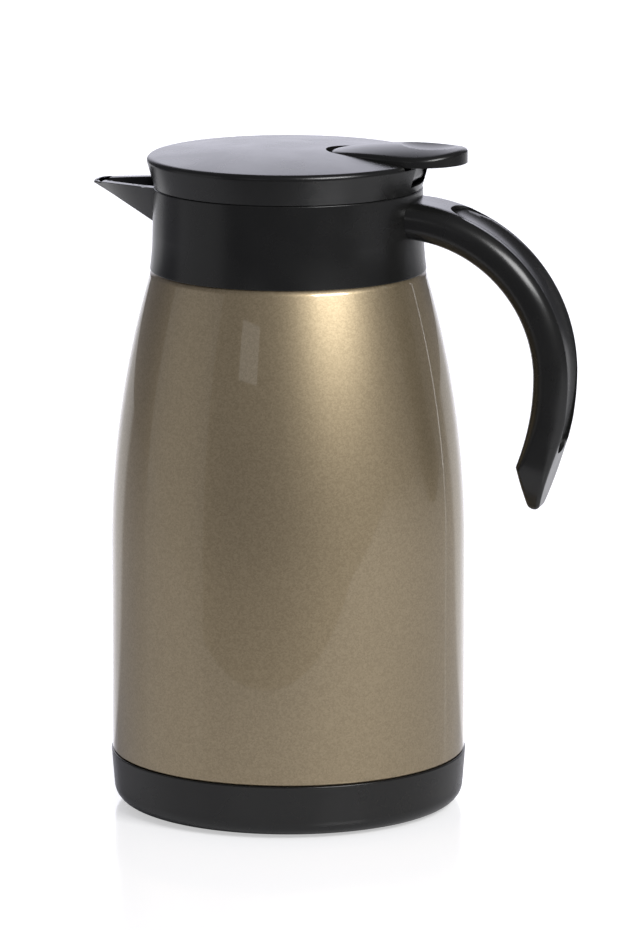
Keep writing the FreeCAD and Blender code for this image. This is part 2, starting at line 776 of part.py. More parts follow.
# Thread ring: insert in the collar's floor whose three ramps hold the stopper down
sleeve = new_body("thread_sleeve")
turned(sleeve, "thread_sleeve_wall", [
    (d.thread_bore_radius, d.thread_foot),
    (d.thread_sleeve_radius, d.thread_foot),
    (d.thread_sleeve_radius, d.bowl_floor - d.thread_flange),
    (d.thread_flange_radius, d.bowl_floor - d.thread_flange),
    (d.thread_flange_radius, d.bowl_floor),
    (d.thread_bore_radius, d.bowl_floor),
])
ring_ramp_foot = d.thread_foot + d.ramp_thickness + d.running_gap
ring_ramps = ramp_group("ring_ramps", d.thread_bore_radius - d.ramp_height,
                        d.thread_bore_radius + d.ramp_height / 2, ring_ramp_foot)
thread_ring = doc.addObject("Part::MultiFuse", "thread_ring_fused")
thread_ring.Shapes = [sleeve, ring_ramps]
doc.recompute()
keep("thread_ring", thread_ring)

# Handle: an open J in side view, narrower towards its tip, with a channel down its back
bow_x = d.handle_reach - d.handle_bow_radius
grip_reach = d.handle_reach - d.handle_thickness
lower_x = d.handle_reach - d.handle_lower_radius
inner_lower_x = grip_reach - d.handle_inner_lower_radius
end_drop = d.handle_bow_height - d.handle_end
tip_x = lower_x + (d.handle_lower_radius * d.handle_lower_radius - end_drop * end_drop).root()
inner_drop = d.handle_bow_height - d.handle_inner_end
inner_end_x = inner_lower_x + (
    d.handle_inner_lower_radius * d.handle_inner_lower_radius - inner_drop * inner_drop).root()
bow_top = d.handle_bow_height + d.handle_bow_radius


def tapered(body, name, inset):
    """Trims both sides so that the width falls from the top of the bow to the tip."""
    for side, sign in (("near", -1), ("far", 1)):
        sketch = new_sketch(body, name + "_" + side, "YZ_Plane", d.handle_reach / 2)
        top = (d.handle_top_half_width - inset) * sign
        tip = (d.handle_tip_half_width - inset) * sign
        outside = (d.handle_top_half_width + d.handle_thickness) * sign
        outline(sketch, [
            (top, bow_top + OVERCUT),
            (tip, d.handle_end - OVERCUT),
            (outside, d.handle_end - OVERCUT),
            (outside, bow_top + OVERCUT),
        ])
        padded(body, name + "_trim_" + side, sketch, d.handle_reach * 2, "PartDesign::Pocket", symmetric=True)


def off_curve(point, bow, lower_centre, lower):
    """Distance of a point from one of the handle's long curves in side view."""
    down = point.z - number(d.handle_bow_height)
    if down >= 0:
        return abs(math.hypot(point.x - number(bow_x), down) - number(bow))
    return abs(math.hypot(point.x - number(lower_centre), down) - number(lower))


def along_curve(bow, lower_centre, lower):
    """Picks the long edges that follow a curve of the handle."""
    def test(edge):
        if edge.Length < number(d.handle_thickness):
            return False
        return all(off_curve(spot, bow, lower_centre, lower) < 0.02 for spot in spots_on(edge))
    return test


grip = new_body("handle_grip")
grip_sketch = new_sketch(grip, "handle_side", "XZ_Plane")
outline(grip_sketch, [
    (bow_x, bow_top, "right", d.handle_bow_radius),
    (d.handle_reach, d.handle_bow_height, "right", d.handle_lower_radius),
    (tip_x, d.handle_end),
    (inner_end_x, d.handle_inner_end, "left", d.handle_inner_lower_radius),
    (grip_reach, d.handle_bow_height, "left", d.handle_bow_radius - d.handle_thickness),
    (bow_x, bow_top - d.handle_thickness),
])
padded(grip, "handle_blank", grip_sketch, (d.handle_top_half_width + OVERCUT) * 2, symmetric=True)
tapered(grip, "handle_taper", 0)
rounded(grip, "handle_outer_edges", d.handle_edge_round,
        along_curve(d.handle_bow_radius, lower_x, d.handle_lower_radius))
rounded(grip, "handle_inner_edges", d.handle_grip_round,
        along_curve(d.handle_bow_radius - d.handle_thickness, inner_lower_x, d.handle_inner_lower_radius))
turned(grip, "handle_seat", [
    (0, d.seam_height),
    (d.collar_waist_radius + d.seat_gap, d.seam_height),
    (d.collar_waist_radius + d.seat_gap, d.collar_waist_height),
    (d.collar_top_radius + d.seat_gap, d.rim_height),
    (0, d.rim_height),
], "PartDesign::Groove")
passage_sketch = new_sketch(grip, "screw_passage_plan", "YZ_Plane", bow_x)
head_sketch = new_sketch(grip, "screw_head_plan", "YZ_Plane", d.screw_seat)
for side in (d.screw_spread, -d.screw_spread):
    ring(passage_sketch, side, d.screw_height, d.screw_radius + d.slip_gap)
    ring(head_sketch, side, d.screw_height, d.screw_head_radius + d.slip_gap)
padded(grip, "screw_passages", passage_sketch, d.screw_seat - bow_x + OVERCUT, "PartDesign::Pocket",
       reversed_way=True)
padded(grip, "screw_head_bores", head_sketch, d.handle_reach - d.screw_seat, "PartDesign::Pocket",
       reversed_way=True)


def channel_strip(body, name, floor, roof, inset, end_inset):
    """A strip that follows the handle's back between two depths, with rounded corners at both ends."""
    start = math.radians(number(d.channel_start_angle) - end_inset)
    end = math.radians(number(d.channel_end_angle) - end_inset)
    points = []
    for radius, lower in ((roof, d.handle_lower_radius - d.handle_bow_radius + roof),
                          (floor, d.handle_lower_radius - d.handle_bow_radius + floor)):
        points.append([(bow_x + radius * math.cos(start), d.handle_bow_height + radius * math.sin(start)),
                       (bow_x + radius, d.handle_bow_height),
                       (lower_x + lower * math.cos(end), d.handle_bow_height - lower * math.sin(end)),
                       (radius, lower)])
    upper, under = points
    sketch = new_sketch(body, name + "_side", "XZ_Plane")
    outline(sketch, [
        upper[0] + ("right", upper[3][0]),
        upper[1] + ("right", upper[3][1]),
        upper[2],
        under[2] + ("left", under[3][1]),
        under[1] + ("left", under[3][0]),
        under[0],
    ])
    padded(body, name + "_strip", sketch, (d.handle_top_half_width + OVERCUT) * 2, symmetric=True)
    tapered(body, name + "_taper", inset)

    def corner(edge):
        return isinstance(edge.Curve, Part.Line) and abs(edge.Length - number(roof - floor)) < 0.2
    rounded(body, name + "_corners", d.channel_end_round, corner)


channel = new_body("handle_channel")
channel_floor = d.handle_bow_radius - d.channel_depth
channel_strip(channel, "channel", channel_floor, d.handle_bow_radius + OVERCUT, d.channel_lip, 0)
handle = doc.addObject("Part::Cut", "handle_with_channel")
handle.Base = grip
handle.Tool = channel
doc.recompute()
keep("handle", handle)

# Handle inlay: strip seated in the channel, a little below its lips
inlay = new_body("handle_inlay_body")
channel_strip(inlay, "inlay", channel_floor + d.seat_gap, channel_floor + d.seat_gap + d.inlay_thickness,
              d.channel_lip + d.slip_gap, number(d.inlay_end_gap))
keep("handle_inlay", inlay)


def stud(name, x, y, z, direction, radius, length):
    """A plain cylinder along X, Y or Z that starts at a point."""
    feature = doc.addObject("Part::Cylinder", name)
    feature.setExpression("Radius", radius.formula)
    feature.setExpression("Height", length.formula)
    turn = {"X": Rotation(Vector(0, 1, 0), 90), "Y": Rotation(Vector(1, 0, 0), -90), "Z": Rotation()}
    feature.Placement = Placement(Vector(number(x), number(y), number(z)), turn[direction])
    for axis, place in (("x", x), ("y", y), ("z", z)):
        if isinstance(place, Size):
            feature.setExpression(".Placement.Base." + axis, place.formula)
    return feature


def block(name, x_from, x_to, half_width, z_from, z_to):
    """A plain block across the middle plane."""
    x_from = sized(x_from)
    feature = doc.addObject("Part::Box", name)
    feature.setExpression("Length", (sized(x_to) - x_from).formula)
    feature.setExpression("Width", (half_width * 2).formula)
    feature.setExpression("Height", (z_to - z_from).formula)
    feature.setExpression(".Placement.Base.x", x_from.formula)
    feature.setExpression(".Placement.Base.y", (-half_width).formula)
    feature.setExpression(".Placement.Base.z", z_from.formula)
    return feature


def group(kind, name, members):
    """A fusion of members, or a compound that keeps them as separate solids."""
    feature = doc.addObject(kind, name)
    if kind == "Part::Compound":
        feature.Links = members
    else:
        feature.Shapes = members
    doc.recompute()
    return feature


def pair(kind, name, base, tool):
    feature = doc.addObject(kind, name)
    feature.Base = base
    feature.Tool = tool
    doc.recompute()
    return feature


# Handle screws: two screws under the inlay, into the collar's blind bosses
screws = []
for index, side in enumerate((d.screw_spread, -d.screw_spread)):
    shank = stud("handle_screw_shank_%d" % index, d.screw_end, side, d.screw_height, "X",
                 d.screw_radius, d.screw_seat + d.seat_gap + d.screw_head / 2 - d.screw_end)
    head = stud("handle_screw_head_%d" % index, d.screw_seat + d.seat_gap, side, d.screw_height, "X",
                d.screw_head_radius, d.screw_head)
    screws.append(group("Part::MultiFuse", "handle_screw_%d" % index, [shank, head]))
keep("handle_screws", group("Part::Compound", "handle_screw_group", screws))

# Stopper body: plug with the port, six pour windows above the flange, and the deck that carries the cover
tube = new_body("stopper_tube")
flange_foot = d.bowl_floor + d.seat_gap + d.gasket_thickness + d.seat_gap
flange_top = flange_foot + d.flange_thickness
deck_top = d.deck_height + d.deck_thickness
valve_seat = d.stopper_foot + d.stopper_floor
gland_roof = d.gland_foot + d.gland_lip
deck_rim_bore = d.deck_radius - d.stopper_wall
stopper_bore = d.stopper_radius - d.stopper_wall
turned(tube, "stopper_wall", [
    (d.port_radius, d.stopper_foot),
    (d.stopper_radius, d.stopper_foot),
    (d.stopper_radius, flange_foot),
    (d.flange_radius, flange_foot),
    (d.flange_radius, flange_top),
    (d.stopper_radius, flange_top),
    (d.stopper_radius, d.deck_height),
    (d.deck_radius, d.deck_height),
    (d.deck_radius, deck_top + d.deck_rim),
    (deck_rim_bore, deck_top + d.deck_rim),
    (deck_rim_bore, deck_top),
    (d.bush_radius + d.seat_gap, deck_top),
    (d.bush_radius + d.seat_gap, gland_roof),
    (d.stem_radius + d.running_gap, gland_roof),
    (d.stem_radius + d.running_gap, d.gland_foot),
    (d.gland_radius, d.gland_foot),
    (d.gland_radius, d.deck_height),
    (stopper_bore, d.deck_height),
    (stopper_bore, valve_seat),
    (d.port_radius, valve_seat),
])
window_foot = flange_top + d.slip_gap
window_sketch = new_sketch(tube, "window_plan", "XY_Plane", window_foot)
outline(window_sketch, [
    (-d.flange_radius, -d.window_half_width),
    (-stopper_bore + d.window_half_width / 2, -d.window_half_width),
    (-stopper_bore + d.window_half_width / 2, d.window_half_width),
    (-d.flange_radius, d.window_half_width),
])
window = padded(tube, "window", window_sketch, d.deck_height - d.window_lintel - window_foot,
                "PartDesign::Pocket", reversed_way=True)
windows = tube.newObject("PartDesign::PolarPattern", "windows")
windows.Originals = [window]
windows.Axis = (window_sketch, ["N_Axis"])
windows.Angle = 360
windows.Occurrences = WINDOWS
tube.Tip = windows
doc.recompute()
stopper_ramps = ramp_group("stopper_ramps", d.stopper_radius - d.ramp_height / 2,
                           d.stopper_radius + d.ramp_height,
                           ring_ramp_foot - d.ramp_thickness - d.ramp_gap)
screw_spots = []
for index in range(LID_SCREWS):
    angle = math.radians(360 / LID_SCREWS * (index + 0.5))
    screw_spots.append((d.lid_screw_circle * math.cos(angle), d.lid_screw_circle * math.sin(angle)))
deck_holes = [stud("deck_hole_%d" % index, x, y, d.deck_height - OVERCUT, "Z",
                   d.lid_screw_radius + d.slip_gap, d.deck_thickness + OVERCUT * 2)
              for index, (x, y) in enumerate(screw_spots)]
stopper_solid = group("Part::MultiFuse", "stopper_fused", [tube, stopper_ramps])
stopper_cuts = group("Part::MultiFuse", "deck_hole_group", deck_holes)
keep("stopper_body", pair("Part::Cut", "stopper_drilled", stopper_solid, stopper_cuts))

# Stopper gasket: soft ring that seals the stopper's flange on the floor of the bowl
stopper_gasket = new_body("stopper_gasket_body")
turned(stopper_gasket, "stopper_gasket_ring", [
    (d.stopper_radius + d.slip_gap, d.bowl_floor + d.seat_gap),
    (d.flange_radius - d.slip_gap, d.bowl_floor + d.seat_gap),
    (d.flange_radius - d.slip_gap, d.bowl_floor + d.seat_gap + d.gasket_thickness),
    (d.stopper_radius + d.slip_gap, d.bowl_floor + d.seat_gap + d.gasket_thickness),
])
keep("stopper_gasket", stopper_gasket)

# Lid screws: four screws from under the deck into the bosses of the cover
lid_screws = []
for index, (x, y) in enumerate(screw_spots):
    shank = stud("lid_screw_shank_%d" % index, x, y, d.deck_height - d.lid_screw_head / 2, "Z",
                 d.lid_screw_radius, d.lid_screw_length + d.lid_screw_head / 2)
    head = stud("lid_screw_head_%d" % index, x, y, d.deck_height - d.seat_gap - d.lid_screw_head, "Z",
                d.lid_screw_head_radius, d.lid_screw_head)
    lid_screws.append(group("Part::MultiFuse", "lid_screw_%d" % index, [shank, head]))
keep("lid_screws", group("Part::Compound", "lid_screw_group", lid_screws))

# Stem bush: flanged guide in the deck
bush = new_body("stem_bush_body")
stem_bore = d.stem_radius + d.stem_play
turned(bush, "stem_bush_wall", [
    (stem_bore, d.bush_foot),
    (d.bush_radius, d.bush_foot),
    (d.bush_radius, deck_top + d.seat_gap),
    (d.bush_flange_radius, deck_top + d.seat_gap),
    (d.bush_flange_radius, deck_top + d.seat_gap + d.bush_flange),
    (stem_bore, deck_top + d.seat_gap + d.bush_flange),
])
keep("stem_bush", bush)

# Stem seal: soft ring trapped under the bush
stem_seal = new_body("stem_seal_body")
turned(stem_seal, "stem_seal_ring", [
    (stem_bore, gland_roof + d.seat_gap),
    (d.bush_radius, gland_roof + d.seat_gap),
    (d.bush_radius, d.bush_foot - d.seat_gap),
    (stem_bore, d.bush_foot - d.seat_gap),
])
keep("stem_seal", stem_seal)

# Valve seal: soft ring that lies on the port's edge
valve_seal = new_body("valve_seal_body")
seal_top = valve_seat + d.seat_gap + d.valve_seal_thickness
turned(valve_seal, "valve_seal_ring", [
    (d.valve_hub_radius + d.seat_gap, valve_seat + d.seat_gap),
    (d.valve_radius, valve_seat + d.seat_gap),
    (d.valve_radius, seal_top),
    (d.valve_hub_radius + d.seat_gap, seal_top),
])
keep("valve_seal", valve_seal)

# Valve plug: disc on the seal, with a hub in the port and a blind hole for the stem
valve_plug = new_body("valve_plug_body")
plug_under = seal_top + d.seat_gap
plug_top = plug_under + d.valve_thickness
stem_foot = valve_seat + d.valve_seal_thickness / 2
turned(valve_plug, "valve_plug_disc", [
    (0, d.stopper_foot + d.stopper_floor / 2),
    (d.valve_hub_radius, d.stopper_foot + d.stopper_floor / 2),
    (d.valve_hub_radius, plug_under),
    (d.valve_radius, plug_under),
    (d.valve_radius, plug_top),
    (d.stem_radius + d.seat_gap, plug_top),
    (d.stem_radius + d.seat_gap, stem_foot),
    (0, stem_foot),
])
keep("valve_plug", valve_plug)

# Valve stem: steel rod from the plug to the cap
stem = stud("valve_stem_rod", 0, 0, stem_foot + d.seat_gap, "Z", d.stem_radius,
            d.cap_seat + d.cap_thickness - stem_foot - d.seat_gap)
keep("valve_stem", stem)

# Stem cap: head on the stem that the lever's fork lifts
cap = new_body("stem_cap_body")
turned(cap, "stem_cap_ring", [
    (d.stem_radius + d.seat_gap, d.cap_seat),
    (d.cap_radius, d.cap_seat),
    (d.cap_radius, d.cap_seat + d.cap_thickness),
    (d.stem_radius + d.seat_gap, d.cap_seat + d.cap_thickness),
])
keep("stem_cap", cap)


def arc_between(start, heading, end):
    """The circular arc that leaves start along heading and reaches end."""
    chord = end - start
    across = heading - chord * (heading.dot(chord) / chord.dot(chord))
    bend = heading.getAngle(chord)
    middle = (start + end) / 2 + across.normalize() * (chord.Length / 2 * math.tan(bend / 2))
    return Part.Arc(start, middle, end)


# Valve spring: one round wire in a helix round the stem, between the plug and the gland
wire_radius = number(d.spring_wire_radius)
spring_low = number(plug_top) + wire_radius + number(d.seat_gap)
spring_high = number(d.gland_foot) - wire_radius - number(d.seat_gap)
spring_rise = (spring_high - spring_low) / number(d.spring_turns)
coil = number(d.spring_radius)


def coil_point(turn):
    angle = 2 * math.pi * turn
    return Vector(coil * math.cos(angle), coil * math.sin(angle), spring_low + spring_rise * turn)


def coil_heading(turn):
    angle = 2 * math.pi * turn
    return Vector(-coil * math.sin(angle), coil * math.cos(angle), spring_rise / (2 * math.pi)).normalize()


coil_arcs = []
pieces = int(round(number(d.spring_turns) * 4))
for piece in range(pieces):
    first, last = piece / 4, (piece + 1) / 4
    start, end = coil_point(first), coil_point(last)
    leave, arrive = coil_heading(first), coil_heading(last)
    span = end - start
    spread = 2 * (1 - leave.dot(arrive))
    reach = span.dot(leave + arrive)
    arm = (math.sqrt(reach * reach + spread * span.dot(span)) - reach) / spread
    joint = (start + end + (leave - arrive) * arm) / 2
    coil_arcs.append(arc_between(start, leave, joint))
    coil_arcs.append(arc_between(end, arrive * -1, joint))
coil_wire = Part.Wire([arc.toShape() for arc in coil_arcs])
section = Part.Wire(Part.makeCircle(wire_radius, coil_point(0), coil_heading(0)))
spring = doc.addObject("Part::Feature", "valve_spring_wire")
spring.Shape = coil_wire.makePipeShell([section], True, False)
print("spring gap to itself", round(spring_rise - 2 * wire_radius, 3))
keep("valve_spring", spring)


def teardrop(sketch, nose_x, nose_radius, end_x, end_radius, flank_radius):
    """Plan of the lever: a round nose, a rounder end, and bowed flanks that run smoothly into both."""
    apart = end_x - nose_x
    to_nose = flank_radius - nose_radius
    to_end = flank_radius - end_radius
    centre_x = (to_nose * to_nose - to_end * to_end + apart * apart) / (apart * 2)
    centre_y = (to_nose * to_nose - centre_x * centre_x).root()
    front_x = nose_x - nose_radius * centre_x / to_nose
    front_y = nose_radius * centre_y / to_nose
    back_x = end_x + end_radius * (apart - centre_x) / to_end
    back_y = end_radius * centre_y / to_end
    outline(sketch, [
        (back_x, back_y, "left", flank_radius),
        (front_x, front_y, "left", nose_radius),
        (front_x, -front_y, "left", flank_radius),
        (back_x, -back_y, "left", end_radius),
        (end_x + end_radius, 0, "left", end_radius),
    ])


def lever_plan(name, foot, height, grow, shift):
    """A prism over the lever's plan, grown by a gap all round and by a shift at its nose."""
    body = new_body(name)
    sketch = new_sketch(body, name + "_plan", "XY_Plane", foot)
    teardrop(sketch, d.lever_nose_x - shift, d.lever_nose_radius + grow, d.lever_end_x,
             d.lever_end_radius + grow, d.lever_flank_radius + grow)
    padded(body, name + "_prism", sketch, height)
    return body


# Lid cover: domed disc with a flared skirt, a tray for the lever and a notch under it
dome = new_body("lid_dome")
dome_rise = d.lid_top - d.lid_rim_height
dome_radius = sagitta_radius(d.lid_rim_radius, dome_rise)
turned(dome, "lid_outside", [
    (0, d.lid_seat),
    (d.lid_seat_radius, d.lid_seat),
    (d.lid_rim_radius, d.lid_rim_height, "left", dome_radius),
    (0, d.lid_top),
])
rounded(dome, "lid_edge", d.lid_edge_round, circle_at(d.lid_rim_radius, d.lid_rim_height))
hollow = new_body("lid_hollow")
hollow_rim = d.lid_rim_radius - d.lid_wall - d.lid_edge_round / 3
hollow_rim_height = d.lid_rim_height - d.lid_wall
turned(hollow, "lid_inside", [
    (0, d.lid_seat - OVERCUT),
    (d.lid_seat_radius - d.lid_wall, d.lid_seat - OVERCUT),
    (d.lid_seat_radius - d.lid_wall, d.lid_seat),
    (hollow_rim, hollow_rim_height, "left", sagitta_radius(hollow_rim, dome_rise)),
    (0, d.lid_top - d.lid_wall),
])
lid_shell = pair("Part::Cut", "lid_shell", dome, hollow)
tray_under = d.tray_floor - d.tray_wall
above = d.lever_top + OVERCUT
tray = lever_plan("lid_tray", tray_under, above - tray_under, d.lever_side_gap + d.tray_wall,
                  d.lever_front_gap)
tray_trim = doc.addObject("Part::MultiCommon", "lid_tray_trimmed")
tray_trim.Shapes = [tray, dome]
ear = block("lid_ear_block", d.pivot_x - d.knuckle_radius - d.tray_wall,
            d.pivot_x + d.knuckle_radius + d.tray_wall, d.ear_half_width, d.notch_floor, d.tray_floor)
ear_trim = doc.addObject("Part::MultiCommon", "lid_ears_trimmed")
ear_trim.Shapes = [ear, dome]
bosses = [stud("lid_boss_%d" % index, x, y, deck_top + d.seat_gap, "Z", d.lid_boss_radius,
               d.lid_rim_height - deck_top - d.seat_gap)
          for index, (x, y) in enumerate(screw_spots)]
doc.recompute()
lid_solid = group("Part::MultiFuse", "lid_fused", [lid_shell, tray_trim, ear_trim] + bosses)
pocket = lever_plan("lid_pocket", d.tray_floor, above - d.tray_floor, d.lever_side_gap, d.lever_front_gap)
pocket_limit = stud("lid_pocket_limit", 0, 0, d.tray_floor - OVERCUT, "Z", d.tray_rim_radius,
                    above - d.tray_floor + OVERCUT * 2)
pocket_trim = doc.addObject("Part::MultiCommon", "lid_pocket_trimmed")
pocket_trim.Shapes = [pocket, pocket_limit]
rim_cut = lever_plan("lid_rim_cut", d.rim_ledge, above - d.rim_ledge, d.lever_side_gap, d.lever_front_gap)
notch = block("lid_notch", d.notch_start, d.lid_rim_radius + OVERCUT, d.notch_half_width, d.notch_floor,
              above)
slot = block("lid_tongue_slot", d.slot_start, d.slot_end, d.tongue_half_width + d.lever_side_gap,
             tray_under - OVERCUT, d.slot_roof)
pin_bore = stud("lid_pin_bore", d.pivot_x, -d.ear_half_width - OVERCUT, d.pivot_height, "Y",
                d.pin_radius + d.pin_play / 2, (d.ear_half_width + OVERCUT) * 2)
boss_bores = [stud("lid_boss_bore_%d" % index, x, y, d.deck_height, "Z", d.lid_screw_radius + d.pin_play / 2,
                   d.lid_screw_length + OVERCUT)
              for index, (x, y) in enumerate(screw_spots)]
doc.recompute()
lid_cuts = group("Part::MultiFuse", "lid_cut_group",
                 [pocket_trim, rim_cut, notch, slot, pin_bore] + boss_bores)
lid = pair("Part::Cut", "lid_cut", lid_solid, lid_cuts)
keep("lid_cover", lid)

# Lever pin: steel pin through the ears and the lever's knuckle
pin = stud("lever_pin_rod", d.pivot_x, -d.pin_half_length, d.pivot_height, "Y", d.pin_radius,
           d.pin_half_length * 2)
keep("lever_pin", pin)

# Thumb lever: crowned teardrop, a dish for the thumb, a knuckle on the pin and a fork under the dome
paddle = lever_plan("lever_paddle", d.lever_foot, above - d.lever_foot, sized(0), sized(0))
crown = doc.addObject("Part::Torus", "lever_crown")
crown.setExpression("Radius1", (d.lever_bow_radius - d.lever_crown_radius).formula)
crown.setExpression("Radius2", d.lever_crown_radius.formula)
crown.Placement = Placement(Vector(0, 0, 0), Rotation(Vector(1, 0, 0), 90))
crown.setExpression(".Placement.Base.x", d.lever_peak.formula)
crown.setExpression(".Placement.Base.z", (d.lever_top - d.lever_bow_radius).formula)
crowned = doc.addObject("Part::MultiCommon", "lever_crowned")
crowned.Shapes = [paddle, crown]
doc.recompute()
top_edges = []
edge_radius = number(d.lever_edge_round)
for index, edge in enumerate(crowned.Shape.Edges, start=1):
    heights = [spot.z for spot in spots_on(edge)]
    upright = max(heights) - min(heights) > 0.7 * edge.Length
    if min(heights) > number(d.lever_foot) + edge_radius and not upright:
        top_edges.append((index, edge_radius, edge_radius))
soft = doc.addObject("Part::Fillet", "lever_soft_edge")
soft.Base = crowned
soft.Edges = top_edges
doc.recompute()
knuckle_half = d.notch_half_width - d.knuckle_gap
knuckle = stud("lever_knuckle", d.pivot_x, -knuckle_half, d.pivot_height, "Y", d.knuckle_radius,
               knuckle_half * 2)
inside_paddle = d.lever_foot + OVERCUT / 2
knuckle_web = block("lever_knuckle_web", d.pivot_x - d.knuckle_radius, d.pivot_x + d.knuckle_radius,
                    knuckle_half, d.pivot_height, inside_paddle)
tongue_top = d.tongue_foot + d.tongue_thickness
web = block("lever_web", d.web_start, d.web_end, d.tongue_half_width, d.tongue_foot, inside_paddle)
tongue = block("lever_tongue", d.fork_root - OVERCUT, d.web_end, d.tongue_half_width, d.tongue_foot,
               tongue_top)
fork = block("lever_fork", -d.fork_reach, d.fork_root, d.fork_half_width, d.tongue_foot, tongue_top)
lever_solid = group("Part::MultiFuse", "lever_fused", [soft, knuckle, knuckle_web, web, tongue, fork])
stem_slot = d.stem_radius + d.running_gap
fork_end = stud("lever_fork_end", 0, 0, d.tongue_foot - OVERCUT, "Z", stem_slot,
                d.tongue_thickness + OVERCUT * 2)
fork_slot = block("lever_fork_slot", -d.fork_reach - OVERCUT, 0, stem_slot,
                  d.tongue_foot - OVERCUT, tongue_top + OVERCUT)
bore = stud("lever_pin_bore", d.pivot_x, -knuckle_half - OVERCUT, d.pivot_height, "Y",
            d.pin_radius + d.pin_play, (knuckle_half + OVERCUT) * 2)
dish = doc.addObject("Part::Sphere", "lever_dish")
dish.setExpression("Radius", d.dish_radius.formula)
dish.setExpression(".Placement.Base.x", d.dish_x.formula)
dish.setExpression(".Placement.Base.z", (d.lever_top - d.dish_depth + d.dish_radius).formula)
lever_cuts = group("Part::MultiFuse", "lever_cut_group", [fork_end, fork_slot, bore, dish])
lever = pair("Part::Cut", "lever_cut", lever_solid, lever_cuts)
keep("thumb_lever", lever)

# Every piece is checked, then written to its own file
doc.recompute()
for item in doc.Objects:
    if "Invalid" in item.State or "Error" in item.State:
        raise RuntimeError("feature failed: " + item.Name)
os.makedirs("parts", exist_ok=True)
for node, feature in finished:
    shape = feature.Shape
    if shape.isNull() or not shape.isValid():
        raise RuntimeError("bad shape: " + node)
    shape.exportStep(os.path.join("parts", node + ".step"))
    print("%-16s solids %d volume %9.1f mm3" % (node, len(shape.Solids), shape.Volume))
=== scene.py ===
import math

import bpy
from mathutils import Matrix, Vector


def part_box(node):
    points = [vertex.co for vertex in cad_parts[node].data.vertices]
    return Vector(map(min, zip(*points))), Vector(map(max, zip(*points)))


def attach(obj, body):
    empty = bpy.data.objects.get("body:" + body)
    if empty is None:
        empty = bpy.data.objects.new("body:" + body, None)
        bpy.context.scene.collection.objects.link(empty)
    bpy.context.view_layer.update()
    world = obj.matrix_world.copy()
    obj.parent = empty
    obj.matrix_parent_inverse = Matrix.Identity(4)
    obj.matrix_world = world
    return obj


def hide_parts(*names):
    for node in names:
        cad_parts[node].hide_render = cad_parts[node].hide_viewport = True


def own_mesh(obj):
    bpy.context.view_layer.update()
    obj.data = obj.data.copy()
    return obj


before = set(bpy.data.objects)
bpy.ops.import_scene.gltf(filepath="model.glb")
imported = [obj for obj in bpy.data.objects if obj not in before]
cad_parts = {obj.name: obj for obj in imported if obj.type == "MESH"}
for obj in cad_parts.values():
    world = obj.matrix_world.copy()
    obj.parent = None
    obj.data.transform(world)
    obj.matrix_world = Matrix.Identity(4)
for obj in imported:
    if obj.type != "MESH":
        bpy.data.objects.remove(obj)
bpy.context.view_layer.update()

# Inner flask: the drawn steel liner that holds the drink, welded to the shell at the lip.
# It is spun and brushed, so it carries fine rings all the way up.
MM = 0.001


def srgb(code):
    """A colour written as sRGB hex, in the linear values that a shader takes."""
    linear = []
    for place in (0, 2, 4):
        value = int(code[place:place + 2], 16) / 255
        linear.append(value / 12.92 if value <= 0.04045 else ((value + 0.055) / 1.055) ** 2.4)
    return (*linear, 1.0)


def add(tree, kind, links, **settings):
    """Adds a node with its settings. A link is a plain value, or a pair of a node and its output."""
    node = tree.nodes.new("ShaderNode" + kind)
    for name, value in settings.items():
        setattr(node, name, value)
    for socket, source in links.items():
        if isinstance(source, tuple) and isinstance(source[0], bpy.types.Node):
            tree.links.new(source[0].outputs[source[1]], node.inputs[socket])
        else:
            node.inputs[socket].default_value = source
    return node


def new_finish(name):
    """An empty node material."""
    material = bpy.data.materials.new(name)
    material.use_nodes = True
    material.node_tree.nodes.clear()
    return material, material.node_tree


def dress(material, *nodes):
    """Gives nodes of the frame a material."""
    for node in nodes:
        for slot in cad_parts[node].material_slots:
            slot.material = material


# Brushed stainless steel: a grey mirror blurred along rings 0.3 mm apart, so highlights spread up and down
brushed_steel, tree = new_finish("brushed_stainless_steel")
ring_spacing = 0.3
place = add(tree, "TexCoord", {})
rings = add(tree, "Mapping", {"Vector": (place, "Object"), "Scale": (20.0, 20.0, 1 / (ring_spacing * MM))})
brush = add(tree, "TexNoise", {"Vector": (rings, 0), "Scale": 1.0, "Detail": 3.0, "Roughness": 0.6})
shine = add(tree, "MapRange", {"Value": (brush, 0), "To Min": 0.2, "To Max": 0.38})
tint = add(tree, "Mix", {"Factor": (brush, 0), "A": srgb("b9b8b4"), "B": srgb("cfcecb")}, data_type="RGBA")
groove = add(tree, "Bump", {"Height": (brush, 0), "Strength": 0.12, "Distance": 0.02 * MM})
steel_skin = add(tree, "BsdfPrincipled", {
    "Base Color": (tint, "Result"), "Metallic": 1.0, "Roughness": (shine, 0), "Normal": (groove, 0)})
add(tree, "OutputMaterial", {"Surface": (steel_skin, 0)})
dress(brushed_steel, "inner_flask")

# Bottom plate, vacuum plug and getter: pressed steel parts that close the vacuum space.
# The plug is brazed over the evacuation hole, and the getter pill lies on the plate inside.
dress(brushed_steel, "bottom_plate", "vacuum_plug", "getter")

# Outer shell: drawn steel bottle, sprayed with bronze flake paint and a gloss clear coat.
# The flank is straight, the shoulder leans in to the collar, and the neck hides inside it.
body_radius = 64.7
shell_wall = 0.8
foot_radius, foot_height, step_height = 61.0, 6.0, 20.05
shoulder_start, seam_height = 96.0, 198.0
shoulder_bow = 356.57
seam_radius, neck_radius = 49.8, 40.0


